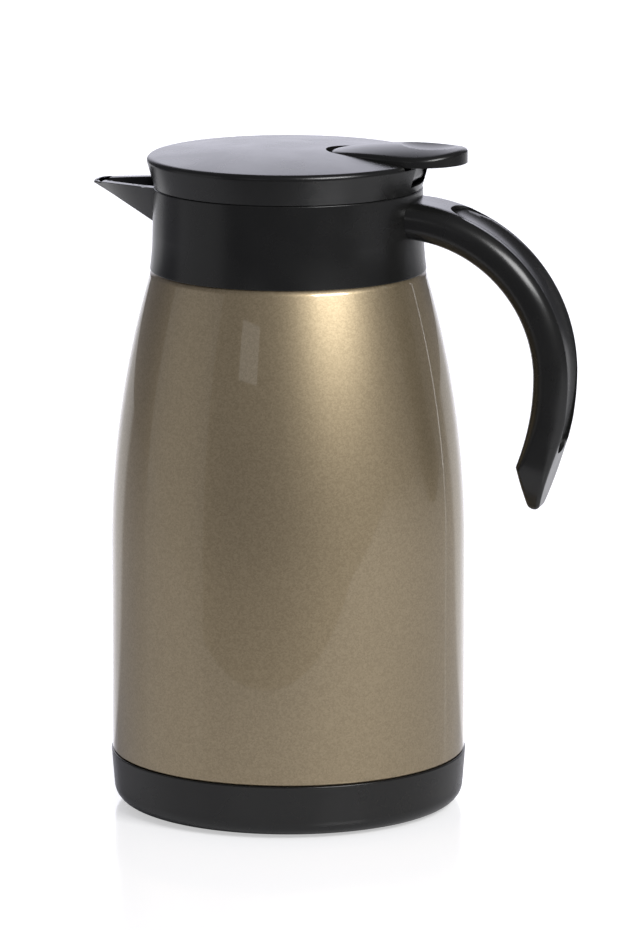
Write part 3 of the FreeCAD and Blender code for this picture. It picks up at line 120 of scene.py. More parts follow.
def start_piece(name, first):
    """A new object open for editing, with one point at a place in millimetres."""
    bpy.ops.object.select_all(action="DESELECT")
    bpy.ops.mesh.primitive_plane_add(size=MM)
    piece = bpy.context.object
    piece.name = name
    piece.data.name = name
    bpy.ops.object.mode_set(mode="EDIT")
    bpy.ops.mesh.select_mode(type="VERT")
    bpy.ops.mesh.select_all(action="SELECT")
    bpy.ops.mesh.merge(type="CENTER")
    bpy.ops.transform.translate(value=[length * MM for length in first])
    return piece


def draw_line(points):
    """Draws on from the point that is picked, through places in millimetres."""
    for here, there in zip(points, points[1:]):
        step = [(b - a) * MM for a, b in zip(here, there)]
        bpy.ops.mesh.extrude_vertices_move(TRANSFORM_OT_translate={"value": step})


def close_up():
    """Merges seams and poles, turns the faces outwards and leaves edit mode."""
    bpy.ops.mesh.select_all(action="SELECT")
    bpy.ops.mesh.remove_doubles(threshold=0.001 * MM)
    bpy.ops.mesh.normals_make_consistent(inside=False)
    bpy.ops.object.mode_set(mode="OBJECT")


def turned(name, profile, steps=192):
    """A turned solid from a closed outline of radius and height in millimetres."""
    points = [(radius, 0.0, height) for radius, height in profile]
    piece = start_piece(name, points[0])
    draw_line(points + points[:1])
    bpy.ops.mesh.select_all(action="SELECT")
    bpy.ops.mesh.spin(steps=steps, angle=2 * math.pi, center=(0, 0, 0), axis=(0, 0, 1))
    close_up()
    return piece


def softened(corners):
    """Points of a closed outline. A corner with a third value is rounded by that radius."""
    points = []
    for index, corner in enumerate(corners):
        if len(corner) == 2:
            points.append(corner)
            continue
        tip = Vector(corner[:2])
        back = (Vector(corners[index - 1][:2]) - tip).normalized()
        ahead = (Vector(corners[(index + 1) % len(corners)][:2]) - tip).normalized()
        half = back.angle(ahead) / 2
        centre = tip + (back + ahead).normalized() * (corner[2] / math.sin(half))
        first = tip + back * (corner[2] / math.tan(half)) - centre
        sweep = first.angle_signed(tip + ahead * (corner[2] / math.tan(half)) - centre)
        steps = max(2, math.ceil(abs(sweep) / math.radians(10)))
        for step in range(steps + 1):
            angle = math.atan2(first.y, first.x) - sweep * step / steps
            points.append((centre.x + corner[2] * math.cos(angle), centre.y + corner[2] * math.sin(angle)))
    return points


def smooth(piece, angle):
    """Smooth shading up to an angle, with flat faces kept flat beside small roundings."""
    bpy.ops.object.select_all(action="DESELECT")
    piece.select_set(True)
    bpy.context.view_layer.objects.active = piece
    bpy.ops.object.shade_smooth_by_angle(angle=math.radians(angle))
    change = piece.modifiers.new("even_faces", "WEIGHTED_NORMAL")
    change.keep_sharp = True
    bpy.ops.object.modifier_apply(modifier=change.name)


def fit(piece, material, slot, body, *nodes):
    """Finishes a piece and puts it on its body in place of its nodes."""
    piece.data.materials.clear()
    piece.data.materials.append(material)
    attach(piece, body)
    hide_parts(*nodes)


def shoulder_radius(height, inset):
    """Radius of the leaning shoulder at a height."""
    rise = height - shoulder_start
    return body_radius - inset - shoulder_bow + math.sqrt(shoulder_bow ** 2 - rise ** 2)


shoulder_heights = [shoulder_start + step * 2.0 for step in range(51)]
shell_outline = softened([
    (foot_radius, foot_height), (foot_radius, step_height), (body_radius, step_height, 1.0),
    (body_radius, 60.0)])
shell_outline += [(shoulder_radius(height, 0), height) for height in shoulder_heights]
shell_outline += [(seam_radius, seam_height), (neck_radius, 205.0), (neck_radius, 208.5),
                  (neck_radius + 0.9, 209.4), (neck_radius, 210.3), (neck_radius, 212.0),
                  (neck_radius - shell_wall, 212.0), (neck_radius - shell_wall, 204.6)]
shell_outline += [(shoulder_radius(height, shell_wall), height) for height in reversed(shoulder_heights[:-1])]
shell_outline += [(body_radius - shell_wall, step_height + shell_wall),
                  (foot_radius - shell_wall, step_height + shell_wall),
                  (foot_radius - shell_wall, foot_height)]
shell = turned("shell", shell_outline, 256)
smooth(shell, 40)

# Bronze flake paint: aluminium flakes about 0.5 mm apart to the eye, each at its own tilt, in a brown
# lacquer under a hard clear coat, so it glitters where the light is and shows sharp reflections on top
bronze_paint, tree = new_finish("bronze_flake_paint")
flake_spacing = 0.5
place = add(tree, "TexCoord", {})
flakes = add(tree, "TexVoronoi", {"Vector": (place, "Object"), "Scale": 1 / (flake_spacing * MM)})
split = add(tree, "SeparateColor", {"Color": (flakes, "Color")})
tint = add(tree, "ValToRGB", {"Fac": (split, 0)})
tint.color_ramp.elements[0].color = srgb("ab9a7b")
tint.color_ramp.elements[1].color = srgb("beac8c")
tilt = add(tree, "Bump", {"Height": (split, 1), "Strength": 0.25, "Distance": 0.02 * MM})
paint_skin = add(tree, "BsdfPrincipled", {
    "Base Color": (tint, 0), "Metallic": 0.85, "Roughness": 0.43, "Normal": (tilt, 0),
    "Coat Weight": 1.0, "Coat Roughness": 0.03, "Coat IOR": 1.5})
add(tree, "OutputMaterial", {"Surface": (paint_skin, 0)})
fit(shell, bronze_paint, "bronze_paint", "vessel", "outer_shell")

# Base cup: moulded black plastic cup, snapped over the foot of the shell.
# Its wall leans out a little to a lip that stands proud of the paint, and its lower edge is well rounded.
cup = turned("base", softened([
    (0.0, 2.05), (52.15, 2.05), (52.15, 1.0, 0.3), (63.7, 1.0, 6.0), (65.2, 20.0, 0.45),
    (61.15, 20.0), (61.15, 4.2), (0.0, 4.2)]))
smooth(cup, 40)

# Satin black ABS: moulded against a fine spark texture of 0.25 mm, so it is dark from the front
# with a soft shine, and pale where it turns away from the eye
black_plastic, tree = new_finish("satin_black_abs")
texture_grain = 0.25
place = add(tree, "TexCoord", {})
grain = add(tree, "TexNoise", {"Vector": (place, "Object"), "Scale": 1 / (texture_grain * MM), "Detail": 2.0})
patches = add(tree, "TexNoise", {"Vector": (place, "Object"), "Scale": 1 / (18 * MM), "Detail": 3.0})
tint = add(tree, "Mix", {"Factor": (patches, 0), "A": srgb("161615"), "B": srgb("1d1d1c")}, data_type="RGBA")
shine = add(tree, "MapRange", {"Value": (patches, 0), "From Min": 0.3, "From Max": 0.7,
                               "To Min": 0.24, "To Max": 0.29})
dimples = add(tree, "Bump", {"Height": (grain, 0), "Strength": 0.1, "Distance": 0.01 * MM})
plastic_skin = add(tree, "BsdfPrincipled", {
    "Base Color": (tint, "Result"), "Roughness": (shine, 0), "IOR": 1.52, "Normal": (dimples, 0)})
add(tree, "OutputMaterial", {"Surface": (plastic_skin, 0)})
fit(cup, black_plastic, "black_plastic", "vessel", "base_cup")

# Base pad: die-cut silicone disc pressed into the underside of the cup, which the carafe stands on.
# Its lower edge is worn round.
pad = turned("pad", softened([(0.0, 0.0), (52.0, 0.0, 0.6), (52.0, 2.0, 0.2), (0.0, 2.0)]), 128)
smooth(pad, 40)

# Grey silicone rubber: dull, with a faint bloom and a skin that is pebbled at about 0.4 mm
grey_silicone, tree = new_finish("grey_silicone_rubber")
pebble_size = 0.4
place = add(tree, "TexCoord", {})
pebbles = add(tree, "TexNoise", {"Vector": (place, "Object"), "Scale": 1 / (pebble_size * MM), "Detail": 2.0})
bloom = add(tree, "TexNoise", {"Vector": (place, "Object"), "Scale": 1 / (12 * MM), "Detail": 3.0})
tint = add(tree, "Mix", {"Factor": (bloom, 0), "A": srgb("8a8b8c"), "B": srgb("9b9c9c")}, data_type="RGBA")
skin_bump = add(tree, "Bump", {"Height": (pebbles, 0), "Strength": 0.15, "Distance": 0.02 * MM})
silicone_skin = add(tree, "BsdfPrincipled", {
    "Base Color": (tint, "Result"), "Roughness": 0.6, "IOR": 1.41, "Normal": (skin_bump, 0)})
add(tree, "OutputMaterial", {"Surface": (silicone_skin, 0)})
fit(pad, grey_silicone, "soft_grey", "vessel", "base_pad")

# Neck gasket: moulded silicone ring, squeezed between the steel lip and the floor of the pouring bowl.
# Both of its edges are round.
neck_ring = turned("neck_ring", softened([
    (37.65, 212.05, 0.35), (40.0, 212.05, 0.35), (40.0, 213.0, 0.35), (37.65, 213.0, 0.35)]), 128)
smooth(neck_ring, 40)
fit(neck_ring, grey_silicone, "soft_grey", "vessel", "neck_gasket")

# Collar: moulded black ring that snaps over the bead of the neck and holds the pouring bowl.
# The spout is a V-shaped beak on its side, open on top, with a round nose and thin rounded lips.
collar_waist, collar_waist_height = 49.3, 212.0
rim_radius, rim_height = 48.9, 228.2
bowl_radius, bowl_floor = 46.2, 215.2
flare_bow = 98.5
spout_root, spout_tip = 44.0, 73.0
spout_half_width, spout_narrowing = 17.8, 0.41
keel_height, keel_slope = 207.4, 0.667
spout_wall = 2.2
lip_round, lip_merge = 0.5, 0.12
screw_aside, screw_height = 5.5, 218.2


def prism(name, outline, along):
    """A straight solid over a closed outline of places in millimetres."""
    piece = start_piece(name, outline[0])
    draw_line(outline)
    bpy.ops.mesh.select_all(action="SELECT")
    bpy.ops.mesh.edge_face_add()
    bpy.ops.mesh.extrude_region_move(TRANSFORM_OT_translate={"value": [length * MM for length in along]})
    close_up()
    return piece


def block(name, low, high):
    """A straight box between two corners in millimetres."""
    corners = [(low[0], low[1]), (high[0], low[1]), (high[0], high[1]), (low[0], high[1])]
    return prism(name, [(x, y, low[2]) for x, y in corners], (0, 0, high[2] - low[2]))


def rod(name, start, end, radius):
    """A round bar between two places in millimetres, for holes, pins and bosses."""
    first, last = Vector(start) * MM, Vector(end) * MM
    bpy.ops.object.select_all(action="DESELECT")
    turn = (last - first).to_track_quat("Z", "Y").to_euler()
    bpy.ops.mesh.primitive_cylinder_add(vertices=64, radius=radius * MM, depth=(last - first).length,
                                        location=(first + last) / 2, rotation=turn)
    bpy.context.object.name = name
    bpy.ops.object.transform_apply(location=True, rotation=True, scale=True)
    return bpy.context.object


def carve(piece, tool, way):
    """Cuts, joins or trims a piece with a tool, and throws the tool away."""
    bpy.ops.object.select_all(action="DESELECT")
    bpy.context.view_layer.objects.active = piece
    piece.select_set(True)
    change = piece.modifiers.new("carve", "BOOLEAN")
    change.operation = way
    change.solver = "EXACT"
    change.object = tool
    bpy.ops.object.modifier_apply(modifier=change.name)
    bpy.data.objects.remove(tool)


def pick_edges(piece, test):
    """Opens a piece for editing with only those edges picked whose two ends pass a test."""
    bpy.ops.object.select_all(action="DESELECT")
    bpy.context.view_layer.objects.active = piece
    piece.select_set(True)
    bpy.ops.object.mode_set(mode="EDIT")
    bpy.ops.mesh.select_mode(type="EDGE")
    bpy.ops.mesh.select_all(action="DESELECT")
    bpy.ops.object.mode_set(mode="OBJECT")
    points = [vertex.co / MM for vertex in piece.data.vertices]
    for edge in piece.data.edges:
        edge.select = test(points[edge.vertices[0]], points[edge.vertices[1]])
    bpy.ops.object.mode_set(mode="EDIT")


def spout_wedge(name, reach_from, reach_to, inset):
    """The V of the spout between two distances from the axis, shrunk inside the walls by inset."""
    top = rim_height + inset
    sizes = []
    for step in range(13):
        reach = reach_from + (reach_to - reach_from) * step / 12
        half = spout_half_width - (reach - spout_root) * spout_narrowing - inset
        depth = top - keel_height - (reach - spout_root) * keel_slope - inset
        sizes.append((reach, half, depth))
    reach, half, depth = sizes[0]
    section = softened([(-half, top), (0.0, top - depth, 3.0), (half, top)])
    places = [(-reach, across, height) for across, height in section]
    piece = start_piece(name, places[0])
    draw_line(places)
    bpy.ops.mesh.select_all(action="SELECT")
    bpy.ops.mesh.edge_face_add()
    for before, after in zip(sizes, sizes[1:]):
        bpy.ops.mesh.extrude_region_move(
            TRANSFORM_OT_translate={"value": ((before[0] - after[0]) * MM, 0, 0)})
        bpy.ops.transform.resize(value=(1, after[1] / before[1], after[2] / before[2]),
                                 center_override=(0, 0, top * MM))
    close_up()
    lean = math.sqrt(1 + spout_narrowing ** 2)
    nose = (spout_half_width - (spout_tip - spout_root) * spout_narrowing) / (lean - spout_narrowing)
    centre = spout_tip - nose
    nose = (spout_half_width - inset - (centre - spout_root) * spout_narrowing) / lean
    start = math.atan2(1.0, spout_narrowing)
    plan = [(-centre - nose * math.cos(start * turn / 16), nose * math.sin(start * turn / 16))
            for turn in range(16, -17, -1)]
    plan += [(plan[-1][0], -30.0), (-80.0, -30.0), (-80.0, 30.0), (plan[0][0], 30.0)]
    carve(piece, prism("nose_cut", [(x, y, 200.0) for x, y in plan], (0, 0, 40.0)), "DIFFERENCE")
    return piece


flare = []
for step in range(15):
    height = 198.05 + (collar_waist_height - 198.05) * step / 14
    fall = collar_waist_height - height
    flare.append((collar_waist + flare_bow - math.sqrt(flare_bow ** 2 - fall ** 2), height))
collar = turned("collar_and_spout", softened([(*flare[0], 0.3)] + flare[1:] + [
    (rim_radius, rim_height, 0.4), (bowl_radius, rim_height, 0.4), (bowl_radius, bowl_floor),
    (38.65, bowl_floor), (38.65, 214.15), (37.5, 214.15), (37.5, 213.05), (40.15, 213.05),
    (40.15, 210.45), (41.05, 209.4), (40.15, 208.35), (40.15, 206.0), (42.4, 206.0), (42.4, 213.05),
    (46.6, 213.05), (47.6, 199.72), (49.85, 198.05)]))
beak = spout_wedge("beak", spout_root, spout_tip + 0.5, 0.0)
carve(beak, rod("bowl_trim", (0, 0, 190), (0, 0, 240), 47.6), "DIFFERENCE")
carve(collar, beak, "UNION")
gutter = spout_wedge("gutter", spout_root - 4.0, spout_tip - 1.0, spout_wall)
carve(gutter, block("gutter_level", (-80, -40, 190), (0, 40, bowl_floor)), "DIFFERENCE")
carve(collar, gutter, "DIFFERENCE")
for side in (-screw_aside, screw_aside):
    carve(collar, rod("screw_boss", (42.3, side, screw_height), (47.6, side, screw_height), 4.2), "UNION")
    hole = rod("screw_hole", (43.3, side, screw_height), (52.0, side, screw_height), 1.55)
    carve(collar, hole, "DIFFERENCE")


def on_lip(first, last):
    """Whether an edge lies along the top of the spout, outside the collar's rim."""
    return all(abs(spot.z - rim_height) < 0.02 and spot.x < -49.6 for spot in (first, last))


pick_edges(collar, on_lip)
bpy.ops.mesh.remove_doubles(threshold=lip_merge * MM)
bpy.ops.object.mode_set(mode="OBJECT")
pick_edges(collar, on_lip)
bpy.ops.mesh.bevel(offset=lip_round * MM, segments=2, affect="EDGES")
bpy.ops.object.mode_set(mode="OBJECT")
smooth(collar, 35)
fit(collar, black_plastic, "black_plastic", "vessel", "collar")

# Thread ring: moulded insert pressed into the floor of the bowl, with the ramps that hold the stopper.
# It shows only with the stopper out, and keeps the shape of its solid.
dress(black_plastic, "thread_ring")

# Handle: moulded black J, screwed to the collar at its root and open at its lower end.
# It narrows towards the tip, its edges are well rounded, and a channel runs down its back.
bow_x, bow_height, bow_radius = 44.0, 163.0, 62.5
grip_thickness = 13.4
back_centre, back_radius = 22.0, 84.5
grip_centre, grip_radius = 1.5, 91.6
tip_height, grip_end = 112.6, 130.4
tip = (92.1, 106.5)
top_half_width, tip_half_width = 15.0, 10.0
back_round, grip_round, tip_round = 6.5, 5.6, 1.6
rounding_run = 24.0
bow_step, bend_angle = 1.8, -16.0
tip_radius = 2.6
tip_length, tip_share, tip_curve = 20.0, 0.3, 2.5
channel_depth, channel_lip = 2.4, 4.4
channel_top, channel_low = 74.0, -19.5
top_end_round, low_end_round = 9.4, 5.8
rim_break, rim_merge = 0.3, 0.08
taper_rise = bow_height + bow_radius - tip_height + 4.0


def taper(piece, inset):
    """Trims both sides of a strip so that it narrows from the top of the bow to the tip."""
    for side in (-1, 1):
        facing = Vector((0, side * taper_rise, tip_half_width - top_half_width)).normalized()
        pick_edges(piece, lambda first, last: True)
        bpy.ops.mesh.bisect(plane_co=(0, side * (tip_half_width - inset) * MM, (tip_height - 2.0) * MM),
                            plane_no=facing, use_fill=True, clear_outer=True)
        bpy.ops.object.mode_set(mode="OBJECT")


def along_arc(centre, radius, angles):
    """Places on an arc of the handle in side view."""
    turns = [math.radians(angle) for angle in angles]
    return [(centre + radius * math.cos(turn), bow_height + radius * math.sin(turn)) for turn in turns]


def above_back(spot):
    """How far a place stands above the line of the handle's back. Inside the back it is negative."""
    if spot.z < bow_height:
        return math.hypot(spot.x - back_centre, spot.z - bow_height) - back_radius
    return math.hypot(spot.x - bow_x, spot.z - bow_height) - bow_radius


grip_angle = math.degrees(math.asin((bow_height - grip_end) / grip_radius))
back_line = along_arc(bow_x, bow_radius, [90 - step * bow_step for step in range(51)])
back_line += along_arc(back_centre, back_radius, [bend_angle * step / 9 for step in range(1, 10)])
bend = back_line[-1]
back_line += [(bend[0] + (tip[0] - bend[0]) * step / 16, bend[1] + (tip[1] - bend[1]) * step / 16)
              for step in range(1, 11)]
grip_line = along_arc(grip_centre, grip_radius, [-grip_angle * (1 - step / 12) for step in range(13)])
grip_line += along_arc(bow_x, bow_radius - grip_thickness, [step * bow_step for step in range(1, 51)])
side_view = softened(back_line + [(*tip, tip_radius)] + grip_line)
handle = prism("grip", [(x, -17.0, z) for x, z in side_view], (0, 34.0, 0))
taper(handle, 0.0)

# The long edges are rounded by weight: full along the bow, tighter towards the tip
weights = handle.data.attributes.new("bevel_weight_edge", "FLOAT", "EDGE")
for edge in handle.data.edges:
    first, last = [handle.data.vertices[index].co / MM for index in edge.vertices]
    middle = (first + last) / 2
    if first.y * last.y < 0 or middle.x < bow_x + 0.1:
        continue
    wanted = back_round if above_back(middle) > -2.0 else grip_round
    near_tip = min(1.0, max(0.0, (middle.z - grip_end + 4.0) / rounding_run))
    weights.data[edge.index].value = (tip_round + (wanted - tip_round) * near_tip) / back_round
bpy.ops.object.select_all(action="DESELECT")
bpy.context.view_layer.objects.active = handle
handle.select_set(True)
rounding = handle.modifiers.new("long_edges", "BEVEL")
rounding.limit_method = "WEIGHT"
rounding.width = back_round * MM
rounding.segments = 7
rounding.use_clamp_overlap = False
bpy.ops.object.modifier_apply(modifier=rounding.name)

# Seen from behind, the tip is drawn in to a round end. Cuts across it let its sides bend
along = Vector((bend[0] - tip[0], 0, bend[1] - tip[1])).normalized()
lowest = min(vertex.co.dot(along) for vertex in handle.data.vertices) / MM
for step in range(1, 13):
    pick_edges(handle, lambda first, last: True)
    bpy.ops.mesh.bisect(plane_co=along * (lowest + tip_length * step / 12) * MM, plane_no=along)
    bpy.ops.object.mode_set(mode="OBJECT")
for vertex in handle.data.vertices:
    share = min(1.0, (vertex.co.dot(along) / MM - lowest) / tip_length)
    vertex.co.y *= 1.0 - (1.0 - tip_share) * (1.0 - share) ** tip_curve


def channel_strip(name, floor, roof, inset, end_gap):
    """A strip that follows the handle's back between two radii of the bow, with round ends."""
    start, end = channel_top - end_gap, channel_low + end_gap
    bow_angles = [start] + [start - 12.0 - step * 3.1 for step in range(int((start - 12.0) / 3.1) + 1)]
    back_angles = [0.0, -3.0, -6.0, -9.0, -12.0, end + 5.5, end]
    wider = back_radius - bow_radius
    upper = along_arc(bow_x, roof, bow_angles) + along_arc(back_centre, wider + roof, back_angles)
    under = along_arc(bow_x, floor, bow_angles) + along_arc(back_centre, wider + floor, back_angles)
    strip = prism(name, [(x, -20.0, z) for x, z in upper + under[::-1]], (0, 40.0, 0))
    taper(strip, inset)
    for corner, round_by in ((under[0], top_end_round), (under[-1], low_end_round)):
        def at_corner(first, last):
            """Whether an edge stands on this corner of the strip, from its floor to its roof."""
            near = all(math.hypot(spot.x - corner[0], spot.z - corner[1]) < roof - floor + 0.05
                       for spot in (first, last))
            return near and first.y * last.y > 0 and (first - last).length > 0.5 * (roof - floor)

        pick_edges(strip, at_corner)
        bpy.ops.mesh.bevel(offset=(round_by - inset + channel_lip) * MM, segments=8, affect="EDGES",
                           clamp_overlap=False)
        bpy.ops.object.mode_set(mode="OBJECT")
    return strip


channel_floor = bow_radius - channel_depth
carve(handle, channel_strip("channel", channel_floor, bow_radius + 2.0, channel_lip, 0.0), "DIFFERENCE")


def on_channel_rim(first, last):
    """Whether an edge lies on the rim of the channel, not on its floor."""
    for spot in (first, last):
        fall = (bow_height + bow_radius + 2.0 - spot.z) / taper_rise
        half = top_half_width + (tip_half_width - top_half_width) * fall - channel_lip
        if not -0.7 < above_back(spot) < 0.3 or abs(spot.y) > half + 0.05:
            return False
    return True


pick_edges(handle, on_channel_rim)
bpy.ops.mesh.remove_doubles(threshold=rim_merge * MM)
bpy.ops.object.mode_set(mode="OBJECT")
pick_edges(handle, on_channel_rim)
bpy.ops.mesh.bevel(offset=rim_break * MM, segments=2, affect="EDGES")
bpy.ops.object.mode_set(mode="OBJECT")
collar_seat = turned("collar_seat", [
    (0.0, 190.0), (49.35, 190.0), (49.35, collar_waist_height), (48.95, rim_height), (48.95, 235.0),
    (0.0, 235.0)])
carve(handle, collar_seat, "DIFFERENCE")
passages = (("screw_passage", 40.0, 62.0, 1.65), ("screw_head_bore", 58.0, 100.0, 3.05))
for side in (-screw_aside, screw_aside):
    for name, start, end, bore in passages:
        carve(handle, rod(name, (start, side, screw_height), (end, side, screw_height), bore), "DIFFERENCE")
smooth(handle, 35)
fit(handle, black_plastic, "black_plastic", "vessel", "handle")

# Handle screws: two steel screws through the root of the handle into blind bosses of the collar.
# The inlay covers them, so they keep the shapes of their solids.
dress(brushed_steel, "handle_screws")

# Handle inlay: moulded strip pressed into the channel over the screws, a little below the lips.
# Its face is hollowed along its whole length by a round cutter that follows the bow.
inlay = channel_strip("inlay", channel_floor + 0.05, channel_floor + 1.85, channel_lip + 0.15, 0.2)
hollow_radius, hollow_depth = 24.0, 2.1
for centre, radius, upper in ((bow_x, bow_radius, True), (back_centre, back_radius, False)):
    bpy.ops.object.select_all(action="DESELECT")
    bpy.ops.mesh.primitive_torus_add(
        location=(centre * MM, 0, bow_height * MM), rotation=(math.pi / 2, 0, 0),
        major_segments=240, minor_segments=96,
        major_radius=(radius - hollow_depth + hollow_radius) * MM, minor_radius=hollow_radius * MM)
    cutter = bpy.context.object
    bpy.ops.object.transform_apply(location=True, rotation=True, scale=True)
    pick_edges(cutter, lambda first, last: True)
    bpy.ops.mesh.bisect(plane_co=(0, 0, bow_height * MM), plane_no=(0, 0, 1), use_fill=True,
                        clear_inner=upper, clear_outer=not upper)
    bpy.ops.object.mode_set(mode="OBJECT")
    carve(inlay, cutter, "DIFFERENCE")
smooth(inlay, 35)
fit(inlay, black_plastic, "black_plastic", "vessel", "handle_inlay")

# Stopper body: moulded black plug with the thread ramps, the pour windows and the deck under the lid.
# Most of it is inside the collar, and it keeps the shape of its solid.
dress(black_plastic, "stopper_body")

# Stopper gasket: silicone ring under the flange of the stopper, bedded on the floor of the bowl.
# All of its edges are round.
flange_ring = turned("flange_ring", softened([
    (34.45, 215.25, 0.7), (40.25, 215.25, 0.7), (40.25, 217.15, 0.7), (34.45, 217.15, 0.7)]), 128)
smooth(flange_ring, 40)
fit(flange_ring, grey_silicone, "soft_grey", "seal_ring", "stopper_gasket")

# Valve plug, stem bush and stem cap: turned acetal parts, left in their natural white.
# The plug closes the port of the stopper, the bush guides the stem, and the cap hangs in the lever's fork.
natural_acetal, tree = new_finish("natural_acetal")
mark_spacing = 0.35
place = add(tree, "TexCoord", {})
marks = add(tree, "Mapping", {"Vector": (place, "Object"), "Scale": (30.0, 30.0, 1 / (mark_spacing * MM))})
tool_marks = add(tree, "TexNoise", {"Vector": (marks, 0), "Scale": 1.0, "Detail": 2.0})
tint = add(tree, "Mix", {"Factor": (tool_marks, 0), "A": srgb("e2e1db"), "B": srgb("eceae4")},
           data_type="RGBA")
fine_lines = add(tree, "Bump", {"Height": (tool_marks, 0), "Strength": 0.15, "Distance": 0.02 * MM})
acetal_skin = add(tree, "BsdfPrincipled", {
    "Base Color": (tint, "Result"), "Roughness": 0.38, "IOR": 1.48, "Normal": (fine_lines, 0)})
add(tree, "OutputMaterial", {"Surface": (acetal_skin, 0)})
dress(natural_acetal, "valve_plug", "stem_bush", "stem_cap")

# Valve stem: ground steel rod from the plug up through the bush.
# It is inside the stopper, and keeps the shape of its solid.
dress(brushed_steel, "valve_stem")

# Valve seal and stem seal: small silicone rings, one under the plug and one under the bush.
# The first rides on the valve and the second stays in the stopper. Their edges are round.
plug_ring = turned("plug_ring", softened([
    (10.05, 202.25, 0.4), (13.5, 202.25, 0.4), (13.5, 203.45, 0.4), (10.05, 203.45, 0.4)]), 96)
smooth(plug_ring, 40)
fit(plug_ring, grey_silicone, "soft_grey", "valve", "valve_seal")
stem_low, stem_high = [corner[2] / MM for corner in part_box("stem_seal")]
stem_ring = turned("stem_ring", softened([
    (2.58, stem_low, 0.3), (4.0, stem_low, 0.3), (4.0, stem_high, 0.3), (2.58, stem_high, 0.3)]), 64)
smooth(stem_ring, 40)
fit(stem_ring, grey_silicone, "soft_grey", "stopper", "stem_seal")

# Valve spring: round wire wound five times round the stem, between the plug and the gland.
# It is squeezed against the gland when the lever lifts the valve.
coil_radius, wire_radius, coil_turns = 5.6, 0.45, 5
spring_low, spring_high = [corner[2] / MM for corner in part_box("valve_spring")]
bpy.ops.object.select_all(action="DESELECT")
bpy.ops.mesh.primitive_circle_add(vertices=12, radius=wire_radius * MM, rotation=(math.pi / 2, 0, 0),
                                  location=(coil_radius * MM, 0, (spring_low + wire_radius) * MM))
spring = bpy.context.object
spring.name = "coil"
bpy.ops.object.transform_apply(location=True, rotation=True, scale=True)
winding = spring.modifiers.new("winding", "SCREW")
winding.axis = "Z"
winding.angle = 2 * math.pi
winding.iterations = coil_turns
winding.screw_offset = (spring_high - spring_low - 2 * wire_radius) / coil_turns * MM
winding.steps = 40
winding.render_steps = 40
bpy.ops.object.modifier_apply(modifier=winding.name)
bpy.ops.object.mode_set(mode="EDIT")
bpy.ops.mesh.select_all(action="DESELECT")
bpy.ops.mesh.select_non_manifold()
bpy.ops.mesh.edge_face_add()
close_up()
smooth(spring, 50)
fit(spring, brushed_steel, "steel", "stopper", "valve_spring")
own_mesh(spring)

# Lid cover: moulded black dome with a flared skirt, screwed to the deck of the stopper.
# A teardrop tray is sunk into it for the lever, and a notch in its rim leaves room for the hinge.
lid_seat, lid_seat_radius = 228.3, 48.6
lid_rim, lid_rim_height, lid_top = 51.7, 239.4, 243.0
dome_bow = (lid_rim ** 2 + (lid_top - lid_rim_height) ** 2) / (2 * (lid_top - lid_rim_height))
nose_centre, nose_radius = 27.2, 11.0
end_centre, end_radius = 49.2, 17.2
flank_radius = 78.0
dome_reach, lid_wall = 48.0, 2.3
tray_gap, tray_edge, tray_shift = 0.6, 2.6, 1.1
boss_ring = 38.2


def dome_line(top, reach):
    """The dome from near its rim to the axis."""
    line = []
    for step in range(24, -1, -1):
        radius = reach * step / 24
        line.append((radius, top - dome_bow + math.sqrt(dome_bow ** 2 - radius ** 2)))
    return line


def teardrop(grow, shift, height):
    """Plan of the lever: a round nose, a rounder end and bowed flanks, grown all round by a gap."""
    front = nose_centre - shift
    small, large, bow = nose_radius + grow, end_radius + grow, flank_radius + grow
    apart = end_centre - front
    to_nose, to_end = bow - small, bow - large
    ahead = (to_nose ** 2 - to_end ** 2 + apart ** 2) / (2 * apart)
    aside = math.sqrt(to_nose ** 2 - ahead ** 2)
    end_turn = math.atan2(aside, apart - ahead)
    nose_turn = math.atan2(aside, -ahead)
    half = []
    for step in range(17):
        angle = end_turn * step / 16
        half.append((end_centre + large * math.cos(angle), large * math.sin(angle)))
    for step in range(1, 12):
        angle = end_turn + (nose_turn - end_turn) * step / 12
        half.append((front + ahead + bow * math.cos(angle), bow * math.sin(angle) - aside))
    for step in range(17):
        angle = nose_turn + (math.pi - nose_turn) * step / 16
        half.append((front + small * math.cos(angle), small * math.sin(angle)))
    return [(x, y, height) for x, y in half + [(x, -y) for x, y in half[-2:0:-1]]]


lid_solid = turned("lid_block", softened(
    [(0.0, lid_seat), (lid_seat_radius, lid_seat, 0.3), (lid_rim, lid_rim_height, 1.8)]
    + dome_line(lid_top, dome_reach)))
lid = turned("lid", softened(
    [(lid_seat_radius, lid_seat, 0.3), (lid_rim, lid_rim_height, 1.8)] + dome_line(lid_top, dome_reach)
    + dome_line(lid_top - lid_wall, dome_reach)[::-1] + [(48.8, 237.1), (46.3, lid_seat, 0.3)]))
tray = prism("tray", teardrop(tray_edge, tray_shift, 234.0), (0, 0, 8.0))
carve(tray, lid_solid, "INTERSECT")
carve(lid, tray, "UNION")
for turn in range(4):
    angle = math.radians(45 + 90 * turn)
    x, y = boss_ring * math.cos(angle), boss_ring * math.sin(angle)
    carve(lid, rod("lid_boss", (x, y, 228.25), (x, y, 239.4), 3.4), "UNION")
    carve(lid, rod("boss_bore", (x, y, 226.0), (x, y, 236.2), 1.28), "DIFFERENCE")
tray_rim = rod("tray_rim", (0, 0, 230), (0, 0, 250), 48.2)
pocket = prism("pocket", teardrop(tray_gap, tray_shift, 236.0), (0, 0, 12.0))
carve(pocket, tray_rim, "INTERSECT")
carve(lid, pocket, "DIFFERENCE")
carve(lid, prism("rim_cut", teardrop(tray_gap, tray_shift, 237.9), (0, 0, 12.0)), "DIFFERENCE")
carve(lid, block("notch", (41.3, -10.2, 230.8), (56.0, 10.2, 250.8)), "DIFFERENCE")
